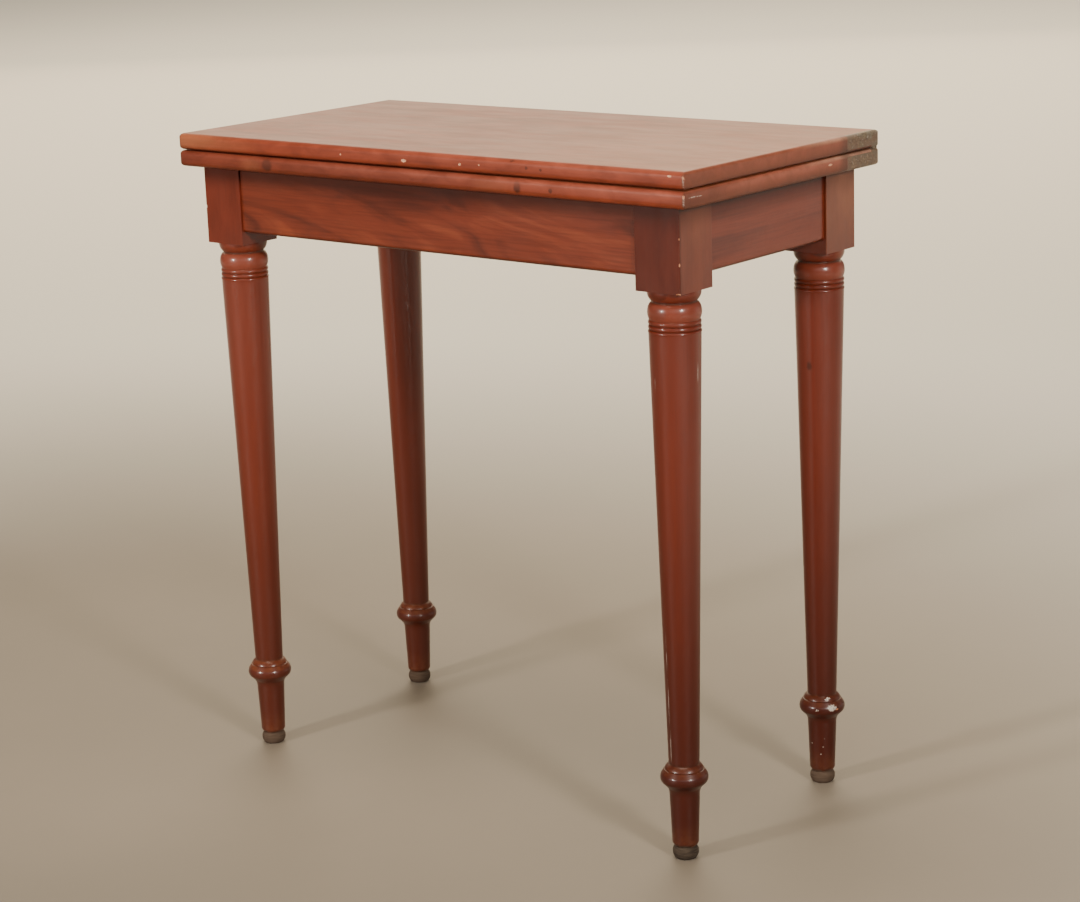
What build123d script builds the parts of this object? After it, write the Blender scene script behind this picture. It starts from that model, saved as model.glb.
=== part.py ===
from build123d import *
import os

# Folding card table with a turn-over top, in millimetres. The origin is on the floor under
# the middle of the closed top, +X runs to the right along the long side, +Y to the hinged
# rear side and +Z up. The stacked leaves turn a quarter on an iron pivot, which bares the
# card well, and then the upper leaf unfolds on its end hinges to make a square top.

os.makedirs("parts", exist_ok=True)

# Closed top
table_height = 750
leaf_length = 720
leaf_width = 360
leaf_thickness = 19
leaf_gap = 0.4
leaf_edge_round = 4
leaf_corner_round = 1.2
top_gap = 0.3

# Frame of posts and aprons
end_overhang = 19.5
side_overhang = 17.5
post_width = 56.5
post_height = 89.5
post_edge_round = 0.8
apron_height = 75
apron_thickness = 20
apron_setback = 3
apron_bottom_round = 5
tenon_thickness = 8
tenon_length = 25
tenon_shoulder = 8
joint_clearance = 0.1

# Turned leg, from the floor up to its shaft
toe_floor_radius = 10.5
toe_radius = 14.6
toe_neck_radius = 12.3
toe_height = 15.5
ankle_radius = 14.4
ankle_chamfer_height = 3.8
lower_taper_height = 52.7
lower_taper_top_radius = 16.3
knop_cove_height = 9.3
knop_cove_top_radius = 18.4
knop_underside_height = 6.4
knop_rim_height = 9.6
knop_rim_edge_radius = 24.6
knop_radius = 25.9
knop_slope_height = 4.2
knop_slope_top_radius = 21.8
knop_groove_radius = 20.6
knop_groove_height = 0.9
knop_shoulder_height = 8.1
knop_shoulder_radius = 21
shaft_bottom_radius = 16.6

# Turned leg, from the top of its shaft up to the square block
shaft_top_radius = 27.4
shaft_lip_radius = 27.8
shaft_lip_height = 3.5
bead_pitch = 5.1
bead_count = 2
bead_radius = 27.6
bead_groove_radius = 26.3
collar_height = 13
collar_radius = 28.2
collar_top_radius = 27.5
shoulder_height = 5.6
shoulder_middle_radius = 26.2
neck_radius = 23.6
neck_height = 0.8
ring_height = 11.4
ring_middle_radius = 26.9
ring_top_radius = 28

# Shares of a stretch's radius and height at which its arc passes
knop_cove_radius_share = 0.33
knop_cove_height_share = 0.6
knop_shoulder_radius_share = 0.33
knop_shoulder_height_share = 0.5
collar_middle_share = 0.55
shoulder_middle_share = 0.52
ring_middle_share = 0.38

# Card-table hinges let into the ends of both leaves
hinge_pin_setback = 4.8
hinge_pin_radius = 1.6
hinge_running_clearance = 0.05
hinge_plate_length = 62
hinge_plate_thickness = 5
hinge_plate_end_round = 2
hinge_wood_strip = 3.3
hinge_knuckle_length = 14
link_thickness = 1.8
link_side_clearance = 0.15
link_end_radius = 4.2
link_end_clearance = 0.4
hinge_screw_head_radius = 3.2
hinge_screw_shank_radius = 1.7
hinge_screw_length = 22
hinge_screw_pitch = 16
hinge_screw_count = 3
hinge_screw_end_margin = 7

# Pivot on the cross rail
pivot_rail_width = 70
pivot_rail_thickness = 24
pivot_rail_housing = 10
pivot_plate_width = 64
pivot_plate_thickness = 4
pivot_plate_corner_round = 4
pivot_bolt_radius = 6
pivot_bolt_head_radius = 10
pivot_bolt_clearance = 0.08
pivot_bolt_end = 4
pivot_bolt_chamfer = 1
pivot_play = 0.2
pivot_washer_radius = 16
pivot_washer_thickness = 2.5
pivot_nut_width = 20
pivot_nut_thickness = 9
pivot_nut_chamfer = 0.8
pivot_screw_margin = 10
pivot_screw_head_radius = 4
pivot_screw_shank_radius = 2.2
pivot_screw_length = 15
rail_screw_spacing = 40
rail_screw_head_radius = 4
rail_screw_shank_radius = 2.2
rail_screw_length = 45

# Stop block under the lower leaf
stop_clearance = 0.3
stop_width = 13.9
stop_near_distance = 60
stop_length = 50
stop_height = 25
stop_edge_round = 2
stop_screw_margin = 12
stop_screw_head_radius = 4
stop_screw_shank_radius = 2.2
stop_screw_length = 36

# Card well in the left half of the frame
bearer_edge_setback = 3
well_floor_thickness = 8
well_fit_clearance = 0.3
partition_setback = 2
partition_thickness = 12
partition_housing = 5
bearer_width = 12
bearer_height = 12
bearer_screw_margin = 30
bearer_screw_count = 3
bearer_screw_head_radius = 3.5
bearer_screw_shank_radius = 1.9
bearer_screw_length = 26

# Screws and cutting
screw_clearance = 0.05
screw_slot_width = 0.8
screw_slot_depth = 0.9
screw_tip_length = 4
cut_overrun = 5

# Heights and half sizes that the pieces share
lower_leaf_bottom = table_height - 2 * leaf_thickness - leaf_gap
lower_leaf_top = lower_leaf_bottom + leaf_thickness
upper_leaf_bottom = lower_leaf_top + leaf_gap
frame_top = lower_leaf_bottom - top_gap
post_bottom = frame_top - post_height
apron_bottom = frame_top - apron_height
frame_half_length = leaf_length / 2 - end_overhang
frame_half_width = leaf_width / 2 - side_overhang
leg_x = frame_half_length - post_width / 2
leg_y = frame_half_width - post_width / 2
post_inner_x = frame_half_length - post_width
post_inner_y = frame_half_width - post_width
apron_outer_x = frame_half_length - apron_setback
apron_outer_y = frame_half_width - apron_setback
apron_inner_x = apron_outer_x - apron_thickness
apron_inner_y = apron_outer_y - apron_thickness
tenon_height = apron_height - 2 * tenon_shoulder
tenon_bottom = apron_bottom + tenon_shoulder

# The quarter turn about this point centres the unfolded top on the frame
pivot_x = leaf_width / 4
pivot_y = leaf_width / 4

# Hinge pins stand as far from the meeting faces as from the rear edges
pin_y = leaf_width / 2 - hinge_pin_setback
lower_pin_z = lower_leaf_top - hinge_pin_setback
upper_pin_z = upper_leaf_bottom + hinge_pin_setback

# The stop block meets the rear apron after the turn, and stands beside the pivot rail before it
stop_right = pivot_x + apron_inner_y - pivot_y - stop_clearance
stop_left = stop_right - stop_width
rail_middle_x = stop_left - stop_clearance - pivot_rail_width / 2

# Card well places
bearer_bottom = apron_bottom + bearer_edge_setback
well_floor_bottom = bearer_bottom + bearer_height
well_floor_top = well_floor_bottom + well_floor_thickness
well_depth = frame_top - well_floor_top
partition_right = -partition_setback
partition_left = partition_right - partition_thickness

# The leg's turned sections, measured down from the square block
neck_top = post_bottom - ring_height
shoulder_top = neck_top - neck_height
collar_top = shoulder_top - shoulder_height
collar_bottom = collar_top - collar_height
bead_bottom = collar_bottom - bead_count * bead_pitch
shaft_top = bead_bottom - shaft_lip_height


def save(piece, name):
    """Label a finished piece and write its STEP file."""
    piece.part.label = name
    export_step(piece.part, f"parts/{name}.step")


def draw_turning():
    """Draw the outline of the turned leg from the floor up to the block, radius by height."""
    height = toe_height
    Line((0, 0), (toe_floor_radius, 0))
    ThreePointArc((toe_floor_radius, 0), (toe_radius, toe_height / 2), (toe_neck_radius, height))
    ankle = height + ankle_chamfer_height
    Line((toe_neck_radius, height), (ankle_radius, ankle))
    taper_top = ankle + lower_taper_height
    Line((ankle_radius, ankle), (lower_taper_top_radius, taper_top))
    cove_top = taper_top + knop_cove_height
    cove_flare = (knop_cove_top_radius - lower_taper_top_radius) * knop_cove_radius_share
    cove_middle_height = taper_top + knop_cove_height * knop_cove_height_share
    cove_middle = (lower_taper_top_radius + cove_flare, cove_middle_height)
    ThreePointArc((lower_taper_top_radius, taper_top), cove_middle, (knop_cove_top_radius, cove_top))
    rim_bottom = cove_top + knop_underside_height
    Line((knop_cove_top_radius, cove_top), (knop_rim_edge_radius, rim_bottom))
    rim_top = rim_bottom + knop_rim_height
    rim_middle = (knop_radius, (rim_bottom + rim_top) / 2)
    ThreePointArc((knop_rim_edge_radius, rim_bottom), rim_middle, (knop_rim_edge_radius, rim_top))
    slope_top = rim_top + knop_slope_height
    Line((knop_rim_edge_radius, rim_top), (knop_slope_top_radius, slope_top))
    groove_middle = slope_top + knop_groove_height / 2
    groove_top = slope_top + knop_groove_height
    Line((knop_slope_top_radius, slope_top), (knop_groove_radius, groove_middle))
    Line((knop_groove_radius, groove_middle), (knop_shoulder_radius, groove_top))
    shaft_bottom = groove_top + knop_shoulder_height
    shoulder_fall = (knop_shoulder_radius - shaft_bottom_radius) * knop_shoulder_radius_share
    shoulder_middle_height = groove_top + knop_shoulder_height * knop_shoulder_height_share
    knop_shoulder = (knop_shoulder_radius - shoulder_fall, shoulder_middle_height)
    ThreePointArc((knop_shoulder_radius, groove_top), knop_shoulder, (shaft_bottom_radius, shaft_bottom))
    Line((shaft_bottom_radius, shaft_bottom), (shaft_top_radius, shaft_top))
    lip_middle = (shaft_lip_radius, shaft_top + shaft_lip_height / 2)
    ThreePointArc((shaft_top_radius, shaft_top), lip_middle, (bead_groove_radius, bead_bottom))
    for count in range(bead_count):
        low = bead_bottom + count * bead_pitch
        crest = (bead_radius, low + bead_pitch / 2)
        ThreePointArc((bead_groove_radius, low), crest, (bead_groove_radius, low + bead_pitch))
    collar_middle = (collar_radius, collar_bottom + collar_height * collar_middle_share)
    ThreePointArc((bead_groove_radius, collar_bottom), collar_middle, (collar_top_radius, collar_top))
    shoulder = (shoulder_middle_radius, collar_top + shoulder_height * shoulder_middle_share)
    ThreePointArc((collar_top_radius, collar_top), shoulder, (neck_radius, shoulder_top))
    Line((neck_radius, shoulder_top), (neck_radius, neck_top))
    ring = (ring_middle_radius, neck_top + ring_height * ring_middle_share)
    ThreePointArc((neck_radius, neck_top), ring, (ring_top_radius, post_bottom))
    Line((ring_top_radius, post_bottom), (0, post_bottom))
    Line((0, post_bottom), (0, 0))


def cut_mortise(x_low, x_high, y_low, y_high):
    """Cut a mortise for an apron's tenon into a post, between the given places."""
    with BuildSketch(Plane.XY.offset(tenon_bottom - joint_clearance)) as mouth:
        with Locations(((x_low + x_high) / 2, (y_low + y_high) / 2)):
            Rectangle(x_high - x_low, y_high - y_low)
    extrude(mouth.sketch, amount=tenon_height + 2 * joint_clearance, mode=Mode.SUBTRACT)


def screw_shape(plane, head_radius, shank_radius, length, clearance=0, mode=Mode.ADD):
    """Revolve a countersunk screw whose head is flush with the plane and which points down it."""
    head = head_radius + clearance
    shank = shank_radius + clearance
    end = length + clearance
    with BuildSketch(Plane(origin=plane.origin, x_dir=plane.x_dir, z_dir=-plane.y_dir)) as half:
        with BuildLine():
            Polyline(
                (0, 0),
                (head, 0),
                (shank, -(head_radius - shank_radius)),
                (shank, -(end - screw_tip_length)),
                (0, -end),
                close=True,
            )
        make_face()
    revolve(half.sketch, axis=Axis(plane.origin, plane.z_dir), mode=mode)


def screw_slot(plane, head_radius):
    """Cut the driving slot across a screw's head."""
    with BuildSketch(plane) as slot:
        Rectangle(2 * head_radius + cut_overrun, screw_slot_width)
    extrude(slot.sketch, amount=-screw_slot_depth, mode=Mode.SUBTRACT)


def rounded_leaf(outward):
    """Draw a leaf with its rounded edges: outward is -1 for the lower leaf and 1 for the upper."""
    meeting_face = lower_leaf_top if outward < 0 else upper_leaf_bottom
    middle = meeting_face + outward * leaf_thickness / 2
    meeting = -1 if outward < 0 else 0
    with BuildSketch(Plane.YZ.offset(-leaf_length / 2)) as side_section:
        with Locations((0, middle)):
            Rectangle(leaf_width, leaf_thickness)
        fillet(side_section.vertices().group_by(Axis.Y)[-1 - meeting], leaf_edge_round)
        meeting_corners = side_section.vertices().group_by(Axis.Y)[meeting].sort_by(Axis.X)
        fillet(meeting_corners[0], leaf_edge_round)
        meeting_corners = side_section.vertices().group_by(Axis.Y)[meeting].sort_by(Axis.X)
        fillet(meeting_corners[-1], hinge_pin_setback)
    extrude(side_section.sketch, amount=leaf_length)
    with BuildSketch(Plane.XZ.offset(-leaf_width / 2)) as end_section:
        with Locations((0, middle)):
            Rectangle(leaf_length, leaf_thickness)
        fillet(end_section.vertices(), leaf_edge_round)
    extrude(end_section.sketch, amount=leaf_width, mode=Mode.INTERSECT)
    with BuildSketch(Plane.XY.offset(middle - leaf_thickness / 2)) as plan:
        RectangleRounded(leaf_length, leaf_width, leaf_corner_round)
    extrude(plan.sketch, amount=leaf_thickness, mode=Mode.INTERSECT)


def hinge_outline(side, outward, mode):
    """Extrude the outline of a hinge plate through the end of a leaf."""
    meeting_face = lower_leaf_top if outward < 0 else upper_leaf_bottom
    rear = leaf_width / 2 + cut_overrun
    front = leaf_width / 2 - hinge_plate_length
    knuckle_front = leaf_width / 2 - hinge_knuckle_length
    outer = meeting_face + outward * (leaf_thickness + cut_overrun)
    arm_edge = meeting_face + outward * hinge_wood_strip
    knuckle_edge = meeting_face - outward * leaf_gap / 2
    with BuildSketch(Plane.YZ.offset(side * (leaf_length / 2 - hinge_plate_thickness))) as outline:
        with BuildLine():
            Polyline(
                (front, outer),
                (front, arm_edge),
                (knuckle_front, arm_edge),
                (knuckle_front, knuckle_edge),
                (rear, knuckle_edge),
                (rear, outer),
                close=True,
            )
        make_face()
        front_corner = outline.vertices().group_by(Axis.X)[0].sort_by(Axis.Y)[-1 if outward < 0 else 0]
        fillet(front_corner, hinge_plate_end_round)
    extrude(outline.sketch, amount=side * (hinge_plate_thickness + cut_overrun), mode=mode)


def hinge_screw_planes(side, outward):
    """Give the planes of a hinge plate's screws, each facing out of the leaf's end."""
    meeting_face = lower_leaf_top if outward < 0 else upper_leaf_bottom
    height = meeting_face + outward * (leaf_thickness + hinge_wood_strip) / 2
    planes = []
    for count in range(hinge_screw_count):
        place = leaf_width / 2 - hinge_plate_length + hinge_screw_end_margin + count * hinge_screw_pitch
        end = side * leaf_length / 2
        planes.append(Plane(origin=(end, place, height), x_dir=(0, 1, 0), z_dir=(side, 0, 0)))
    return planes


def pivot_screw_planes():
    """Give the planes of the pivot plate's screws, facing down."""
    reach = pivot_plate_width / 2 - pivot_screw_margin
    planes = []
    for x_side in (-1, 1):
        for y_side in (-1, 1):
            place = (pivot_x + x_side * reach, pivot_y + y_side * reach, lower_leaf_bottom)
            planes.append(Plane(origin=place, x_dir=(1, 0, 0), z_dir=(0, 0, -1)))
    return planes


def stop_screw_planes():
    """Give the planes of the stop block's screws, facing down."""
    middle = pivot_y - stop_near_distance - stop_length / 2
    reach = stop_length / 2 - stop_screw_margin
    planes = []
    for y_side in (-1, 1):
        origin = ((stop_left + stop_right) / 2, middle + y_side * reach, lower_leaf_bottom - stop_height)
        planes.append(Plane(origin=origin, x_dir=(0, 1, 0), z_dir=(0, 0, -1)))
    return planes


def rail_screw_planes(y_side):
    """Give the planes of the screws that hold one end of the pivot rail, facing up."""
    place = y_side * (apron_inner_y + pivot_rail_housing / 2)
    planes = []
    for x_side in (-1, 1):
        origin = (rail_middle_x + x_side * rail_screw_spacing / 2, place, frame_top)
        planes.append(Plane(origin=origin, x_dir=(1, 0, 0), z_dir=(0, 0, 1)))
    return planes


def long_bearer_screw_planes(y_side):
    """Give the planes of the screws through the front or rear bearer, facing into the well."""
    first = -post_inner_x + bearer_screw_margin
    last = partition_right - bearer_screw_margin
    planes = []
    for count in range(bearer_screw_count):
        place = first + (last - first) * count / (bearer_screw_count - 1)
        origin = (place, y_side * (apron_inner_y - bearer_width), bearer_bottom + bearer_height / 2)
        planes.append(Plane(origin=origin, x_dir=(1, 0, 0), z_dir=(0, -y_side, 0)))
    return planes


def left_bearer_screw_planes():
    """Give the planes of the screws through the left bearer, facing into the well."""
    reach = post_inner_y - bearer_screw_margin
    planes = []
    for y_side in (-1, 1):
        origin = (-apron_inner_x + bearer_width, y_side * reach, bearer_bottom + bearer_height / 2)
        planes.append(Plane(origin=origin, x_dir=(0, 1, 0), z_dir=(1, 0, 0)))
    return planes


# Four turned legs, each with its square block mortised for two aprons
for x_side, x_name in ((-1, "left"), (1, "right")):
    for y_side, y_name in ((-1, "front"), (1, "rear")):
        foot = (x_side * leg_x, y_side * leg_y, 0)
        with BuildPart() as leg:
            with BuildSketch(Plane(origin=foot, x_dir=(1, 0, 0), z_dir=(0, -1, 0))):
                with BuildLine():
                    draw_turning()
                make_face()
            revolve(axis=Axis(foot, (0, 0, 1)))
            with BuildSketch(Plane(origin=(foot[0], foot[1], post_bottom))):
                RectangleRounded(post_width, post_width, post_edge_round)
            extrude(amount=post_height)
            tenon_y = y_side * (apron_outer_y - apron_thickness / 2)
            half_slot = tenon_thickness / 2 + joint_clearance
            inner_x = x_side * post_inner_x
            deep_x = x_side * (post_inner_x + tenon_length + joint_clearance)
            cut_mortise(min(inner_x, deep_x), max(inner_x, deep_x), tenon_y - half_slot, tenon_y + half_slot)
            tenon_x = x_side * (apron_outer_x - apron_thickness / 2)
            inner_y = y_side * post_inner_y
            deep_y = y_side * (post_inner_y + tenon_length + joint_clearance)
            cut_mortise(tenon_x - half_slot, tenon_x + half_slot, min(inner_y, deep_y), max(inner_y, deep_y))
        save(leg, f"leg_{y_name}_{x_name}")

# Front and rear aprons, tenoned into the posts and housed for the pivot rail and the partition
for y_side, name in ((-1, "front_apron"), (1, "rear_apron")):
    middle_y = y_side * (apron_outer_y - apron_thickness / 2)
    with BuildPart() as long_apron:
        with BuildSketch(Plane.YZ.offset(-post_inner_x)) as section:
            with Locations((middle_y, apron_bottom + apron_height / 2)):
                Rectangle(apron_thickness, apron_height)
            bottom_corners = section.vertices().group_by(Axis.Y)[0].sort_by(Axis.X)
            fillet(bottom_corners[0 if y_side < 0 else -1], apron_bottom_round)
        extrude(amount=2 * post_inner_x)
        with BuildSketch(Plane.YZ.offset(-post_inner_x - tenon_length)):
            with Locations((middle_y, tenon_bottom + tenon_height / 2)):
                Rectangle(tenon_thickness, tenon_height)
        extrude(amount=2 * (post_inner_x + tenon_length))
        with BuildSketch(Plane.XY.offset(frame_top - pivot_rail_thickness)):
            with Locations((rail_middle_x, y_side * apron_inner_y)):
                Rectangle(pivot_rail_width + 2 * joint_clearance, 2 * pivot_rail_housing)
        extrude(amount=pivot_rail_thickness + cut_overrun, mode=Mode.SUBTRACT)
        with BuildSketch(Plane.XY.offset(well_floor_top)):
            with Locations(((partition_left + partition_right) / 2, y_side * apron_inner_y)):
                Rectangle(partition_thickness + 2 * joint_clearance, 2 * partition_housing)
        extrude(amount=well_depth + cut_overrun, mode=Mode.SUBTRACT)
        for plane in rail_screw_planes(y_side):
            screw_shape(plane, rail_screw_head_radius, rail_screw_shank_radius, rail_screw_length,
                        screw_clearance, Mode.SUBTRACT)
        for plane in long_bearer_screw_planes(y_side):
            screw_shape(plane, bearer_screw_head_radius, bearer_screw_shank_radius, bearer_screw_length,
                        screw_clearance, Mode.SUBTRACT)
    save(long_apron, name)

# Left and right aprons, tenoned into the posts
for x_side, name in ((-1, "left_apron"), (1, "right_apron")):
    middle_x = x_side * (apron_outer_x - apron_thickness / 2)
    with BuildPart() as end_apron:
        with BuildSketch(Plane.XZ.offset(-post_inner_y)) as section:
            with Locations((middle_x, apron_bottom + apron_height / 2)):
                Rectangle(apron_thickness, apron_height)
            bottom_corners = section.vertices().group_by(Axis.Y)[0].sort_by(Axis.X)
            fillet(bottom_corners[0 if x_side < 0 else -1], apron_bottom_round)
        extrude(amount=2 * post_inner_y)
        with BuildSketch(Plane.XZ.offset(-post_inner_y - tenon_length)):
            with Locations((middle_x, tenon_bottom + tenon_height / 2)):
                Rectangle(tenon_thickness, tenon_height)
        extrude(amount=2 * (post_inner_y + tenon_length))
        if x_side < 0:
            for plane in left_bearer_screw_planes():
                screw_shape(plane, bearer_screw_head_radius, bearer_screw_shank_radius, bearer_screw_length,
                            screw_clearance, Mode.SUBTRACT)
    save(end_apron, name)

# Cross rail that carries the pivot, housed into the aprons with its top flush with theirs
with BuildPart() as pivot_rail:
    with BuildSketch(Plane.XY.offset(frame_top - pivot_rail_thickness)):
        with Locations((rail_middle_x, 0)):
            Rectangle(pivot_rail_width, 2 * (apron_inner_y + pivot_rail_housing - joint_clearance))
        with Locations((pivot_x, pivot_y)):
            Circle(pivot_bolt_radius + pivot_bolt_clearance, mode=Mode.SUBTRACT)
    extrude(amount=pivot_rail_thickness)
    for y_side in (-1, 1):
        for plane in rail_screw_planes(y_side):
            screw_shape(plane, rail_screw_head_radius, rail_screw_shank_radius, rail_screw_length,
                        screw_clearance, Mode.SUBTRACT)
save(pivot_rail, "pivot_rail")

with BuildPart() as rail_screws:
    for y_side in (-1, 1):
        for plane in rail_screw_planes(y_side):
            screw_shape(plane, rail_screw_head_radius, rail_screw_shank_radius, rail_screw_length)
            screw_slot(plane, rail_screw_head_radius)
save(rail_screws, "rail_screws")

# Card well: a floor board on three bearers, closed on the right by a partition
with BuildPart() as well_floor:
    floor_left = -apron_inner_x + well_fit_clearance
    floor_reach = apron_inner_y - well_fit_clearance
    with BuildSketch(Plane.XY.offset(well_floor_bottom)):
        with Locations(((floor_left + partition_right) / 2, 0)):
            Rectangle(partition_right - floor_left, 2 * floor_reach)
        notch_width = post_inner_x + well_fit_clearance
        notch_reach = post_inner_y - well_fit_clearance
        for y_side in (-1, 1):
            with Locations((-notch_width - post_width / 2, y_side * (notch_reach + post_width / 2))):
                Rectangle(post_width + 2 * well_fit_clearance, post_width, mode=Mode.SUBTRACT)
    extrude(amount=well_floor_thickness)
save(well_floor, "well_floor")

with BuildPart() as well_partition:
    with BuildSketch(Plane.XY.offset(well_floor_top)):
        with Locations(((partition_left + partition_right) / 2, 0)):
            Rectangle(partition_thickness, 2 * (apron_inner_y + partition_housing - joint_clearance))
    extrude(amount=well_depth)
save(well_partition, "well_partition")

for y_side, name in ((-1, "well_bearer_front"), (1, "well_bearer_rear")):
    middle = ((partition_right - post_inner_x) / 2, y_side * (apron_inner_y - bearer_width / 2))
    with BuildPart() as long_bearer:
        with BuildSketch(Plane.XY.offset(bearer_bottom)):
            with Locations(middle):
                Rectangle(post_inner_x + partition_right, bearer_width)
        extrude(amount=bearer_height)
        for plane in long_bearer_screw_planes(y_side):
            screw_shape(plane, bearer_screw_head_radius, bearer_screw_shank_radius, bearer_screw_length,
                        screw_clearance, Mode.SUBTRACT)
    save(long_bearer, name)

with BuildPart() as well_bearer_left:
    with BuildSketch(Plane.XY.offset(bearer_bottom)):
        with Locations((-apron_inner_x + bearer_width / 2, 0)):
            Rectangle(bearer_width, 2 * post_inner_y)
    extrude(amount=bearer_height)
    for plane in left_bearer_screw_planes():
        screw_shape(plane, bearer_screw_head_radius, bearer_screw_shank_radius, bearer_screw_length,
                    screw_clearance, Mode.SUBTRACT)
save(well_bearer_left, "well_bearer_left")

with BuildPart() as bearer_screws:
    bearer_planes = long_bearer_screw_planes(-1) + long_bearer_screw_planes(1) + left_bearer_screw_planes()
    for plane in bearer_planes:
        screw_shape(plane, bearer_screw_head_radius, bearer_screw_shank_radius, bearer_screw_length)
        screw_slot(plane, bearer_screw_head_radius)
save(bearer_screws, "bearer_screws")

# The two leaves, let out at both ends for the hinge plates
for outward, name in ((-1, "lower_leaf"), (1, "upper_leaf")):
    with BuildPart() as leaf:
        rounded_leaf(outward)
        for side in (-1, 1):
            hinge_outline(side, outward, Mode.SUBTRACT)
            for plane in hinge_screw_planes(side, outward):
                screw_shape(plane, hinge_screw_head_radius, hinge_screw_shank_radius, hinge_screw_length,
                            screw_clearance, Mode.SUBTRACT)
        if outward < 0:
            with BuildSketch(Plane.XY.offset(lower_leaf_bottom)):
                with Locations((pivot_x, pivot_y)):
                    RectangleRounded(pivot_plate_width, pivot_plate_width, pivot_plate_corner_round)
            extrude(amount=pivot_plate_thickness, mode=Mode.SUBTRACT)
            for plane in pivot_screw_planes():
                screw_shape(plane, pivot_screw_head_radius, pivot_screw_shank_radius, pivot_screw_length,
                            screw_clearance, Mode.SUBTRACT)
            for plane in stop_screw_planes():
                screw_shape(plane, stop_screw_head_radius, stop_screw_shank_radius, stop_screw_length,
                            screw_clearance, Mode.SUBTRACT)
    save(leaf, name)

# Hinge plates, filed flush with the leaf's edges, slotted at the knuckle for the link
for outward, leaf_name in ((-1, "lower"), (1, "upper")):
    pin_z = lower_pin_z if outward < 0 else upper_pin_z
    slot_reach = link_end_radius + link_end_clearance
    for side, side_name in ((-1, "left"), (1, "right")):
        slot_inner = leaf_length / 2 - (hinge_plate_thickness + link_thickness) / 2 - link_side_clearance
        with BuildPart() as hinge_plate:
            rounded_leaf(outward)
            hinge_outline(side, outward, Mode.INTERSECT)
            with BuildSketch(Plane.YZ.offset(side * slot_inner)) as slot:
                with BuildLine():
                    Polyline(
                        (pin_y - slot_reach, pin_z + outward * slot_reach),
                        (pin_y - slot_reach, pin_z - outward * (slot_reach + cut_overrun)),
                        (pin_y + slot_reach + cut_overrun, pin_z - outward * (slot_reach + cut_overrun)),
                        (pin_y + slot_reach + cut_overrun, pin_z + outward * slot_reach),
                        close=True,
                    )
                make_face()
                inner_corner = slot.vertices().group_by(Axis.X)[0].sort_by(Axis.Y)[0 if outward < 0 else -1]
                fillet(inner_corner, link_end_radius)
            extrude(amount=side * (link_thickness + 2 * link_side_clearance), mode=Mode.SUBTRACT)
            with BuildSketch(Plane.YZ.offset(side * (leaf_length / 2 + cut_overrun))):
                with Locations((pin_y, pin_z)):
                    Circle(hinge_pin_radius)
            extrude(amount=-side * (hinge_plate_thickness + 2 * cut_overrun), mode=Mode.SUBTRACT)
            for plane in hinge_screw_planes(side, outward):
                screw_shape(plane, hinge_screw_head_radius, hinge_screw_shank_radius, hinge_screw_length,
                            screw_clearance, Mode.SUBTRACT)
        save(hinge_plate, f"hinge_plate_{leaf_name}_{side_name}")
    with BuildPart() as hinge_pins:
        for side in (-1, 1):
            with BuildSketch(Plane.YZ.offset(side * (leaf_length / 2 - hinge_plate_thickness))):
                with Locations((pin_y, pin_z)):
                    Circle(hinge_pin_radius)
            extrude(amount=side * hinge_plate_thickness)
    save(hinge_pins, f"hinge_pins_{leaf_name}")
    with BuildPart() as hinge_screws:
        for side in (-1, 1):
            for plane in hinge_screw_planes(side, outward):
                screw_shape(plane, hinge_screw_head_radius, hinge_screw_shank_radius, hinge_screw_length)
                screw_slot(plane, hinge_screw_head_radius)
    save(hinge_screws, f"hinge_screws_{leaf_name}")

# Links that join the two plates of each hinge
for side, side_name in ((-1, "left"), (1, "right")):
    link_inner = leaf_length / 2 - (hinge_plate_thickness + link_thickness) / 2
    with BuildPart() as hinge_link:
        with BuildSketch(Plane.YZ.offset(side * link_inner)):
            with Locations((pin_y, (lower_pin_z + upper_pin_z) / 2)):
                Rectangle(2 * link_end_radius, upper_pin_z - lower_pin_z)
            with Locations((pin_y, lower_pin_z), (pin_y, upper_pin_z)):
                Circle(link_end_radius)
                Circle(hinge_pin_radius + hinge_running_clearance, mode=Mode.SUBTRACT)
        extrude(amount=side * link_thickness)
    save(hinge_link, f"hinge_link_{side_name}")

# Pivot under the lower leaf: plate, bolt, washer and square nut
with BuildPart() as pivot_plate:
    with BuildSketch(Plane.XY.offset(lower_leaf_bottom)):
        with Locations((pivot_x, pivot_y)):
            RectangleRounded(pivot_plate_width, pivot_plate_width, pivot_plate_corner_round)
    extrude(amount=pivot_plate_thickness)
    with BuildSketch(Plane.XY.offset(lower_leaf_bottom)):
        with Locations((pivot_x, pivot_y)):
            Circle(pivot_bolt_radius)
    with BuildSketch(Plane.XY.offset(lower_leaf_bottom + pivot_plate_thickness)):
        with Locations((pivot_x, pivot_y)):
            Circle(pivot_bolt_head_radius)
    loft(mode=Mode.SUBTRACT)
    for plane in pivot_screw_planes():
        screw_shape(plane, pivot_screw_head_radius, pivot_screw_shank_radius, pivot_screw_length,
                    screw_clearance, Mode.SUBTRACT)
save(pivot_plate, "pivot_plate")

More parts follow.
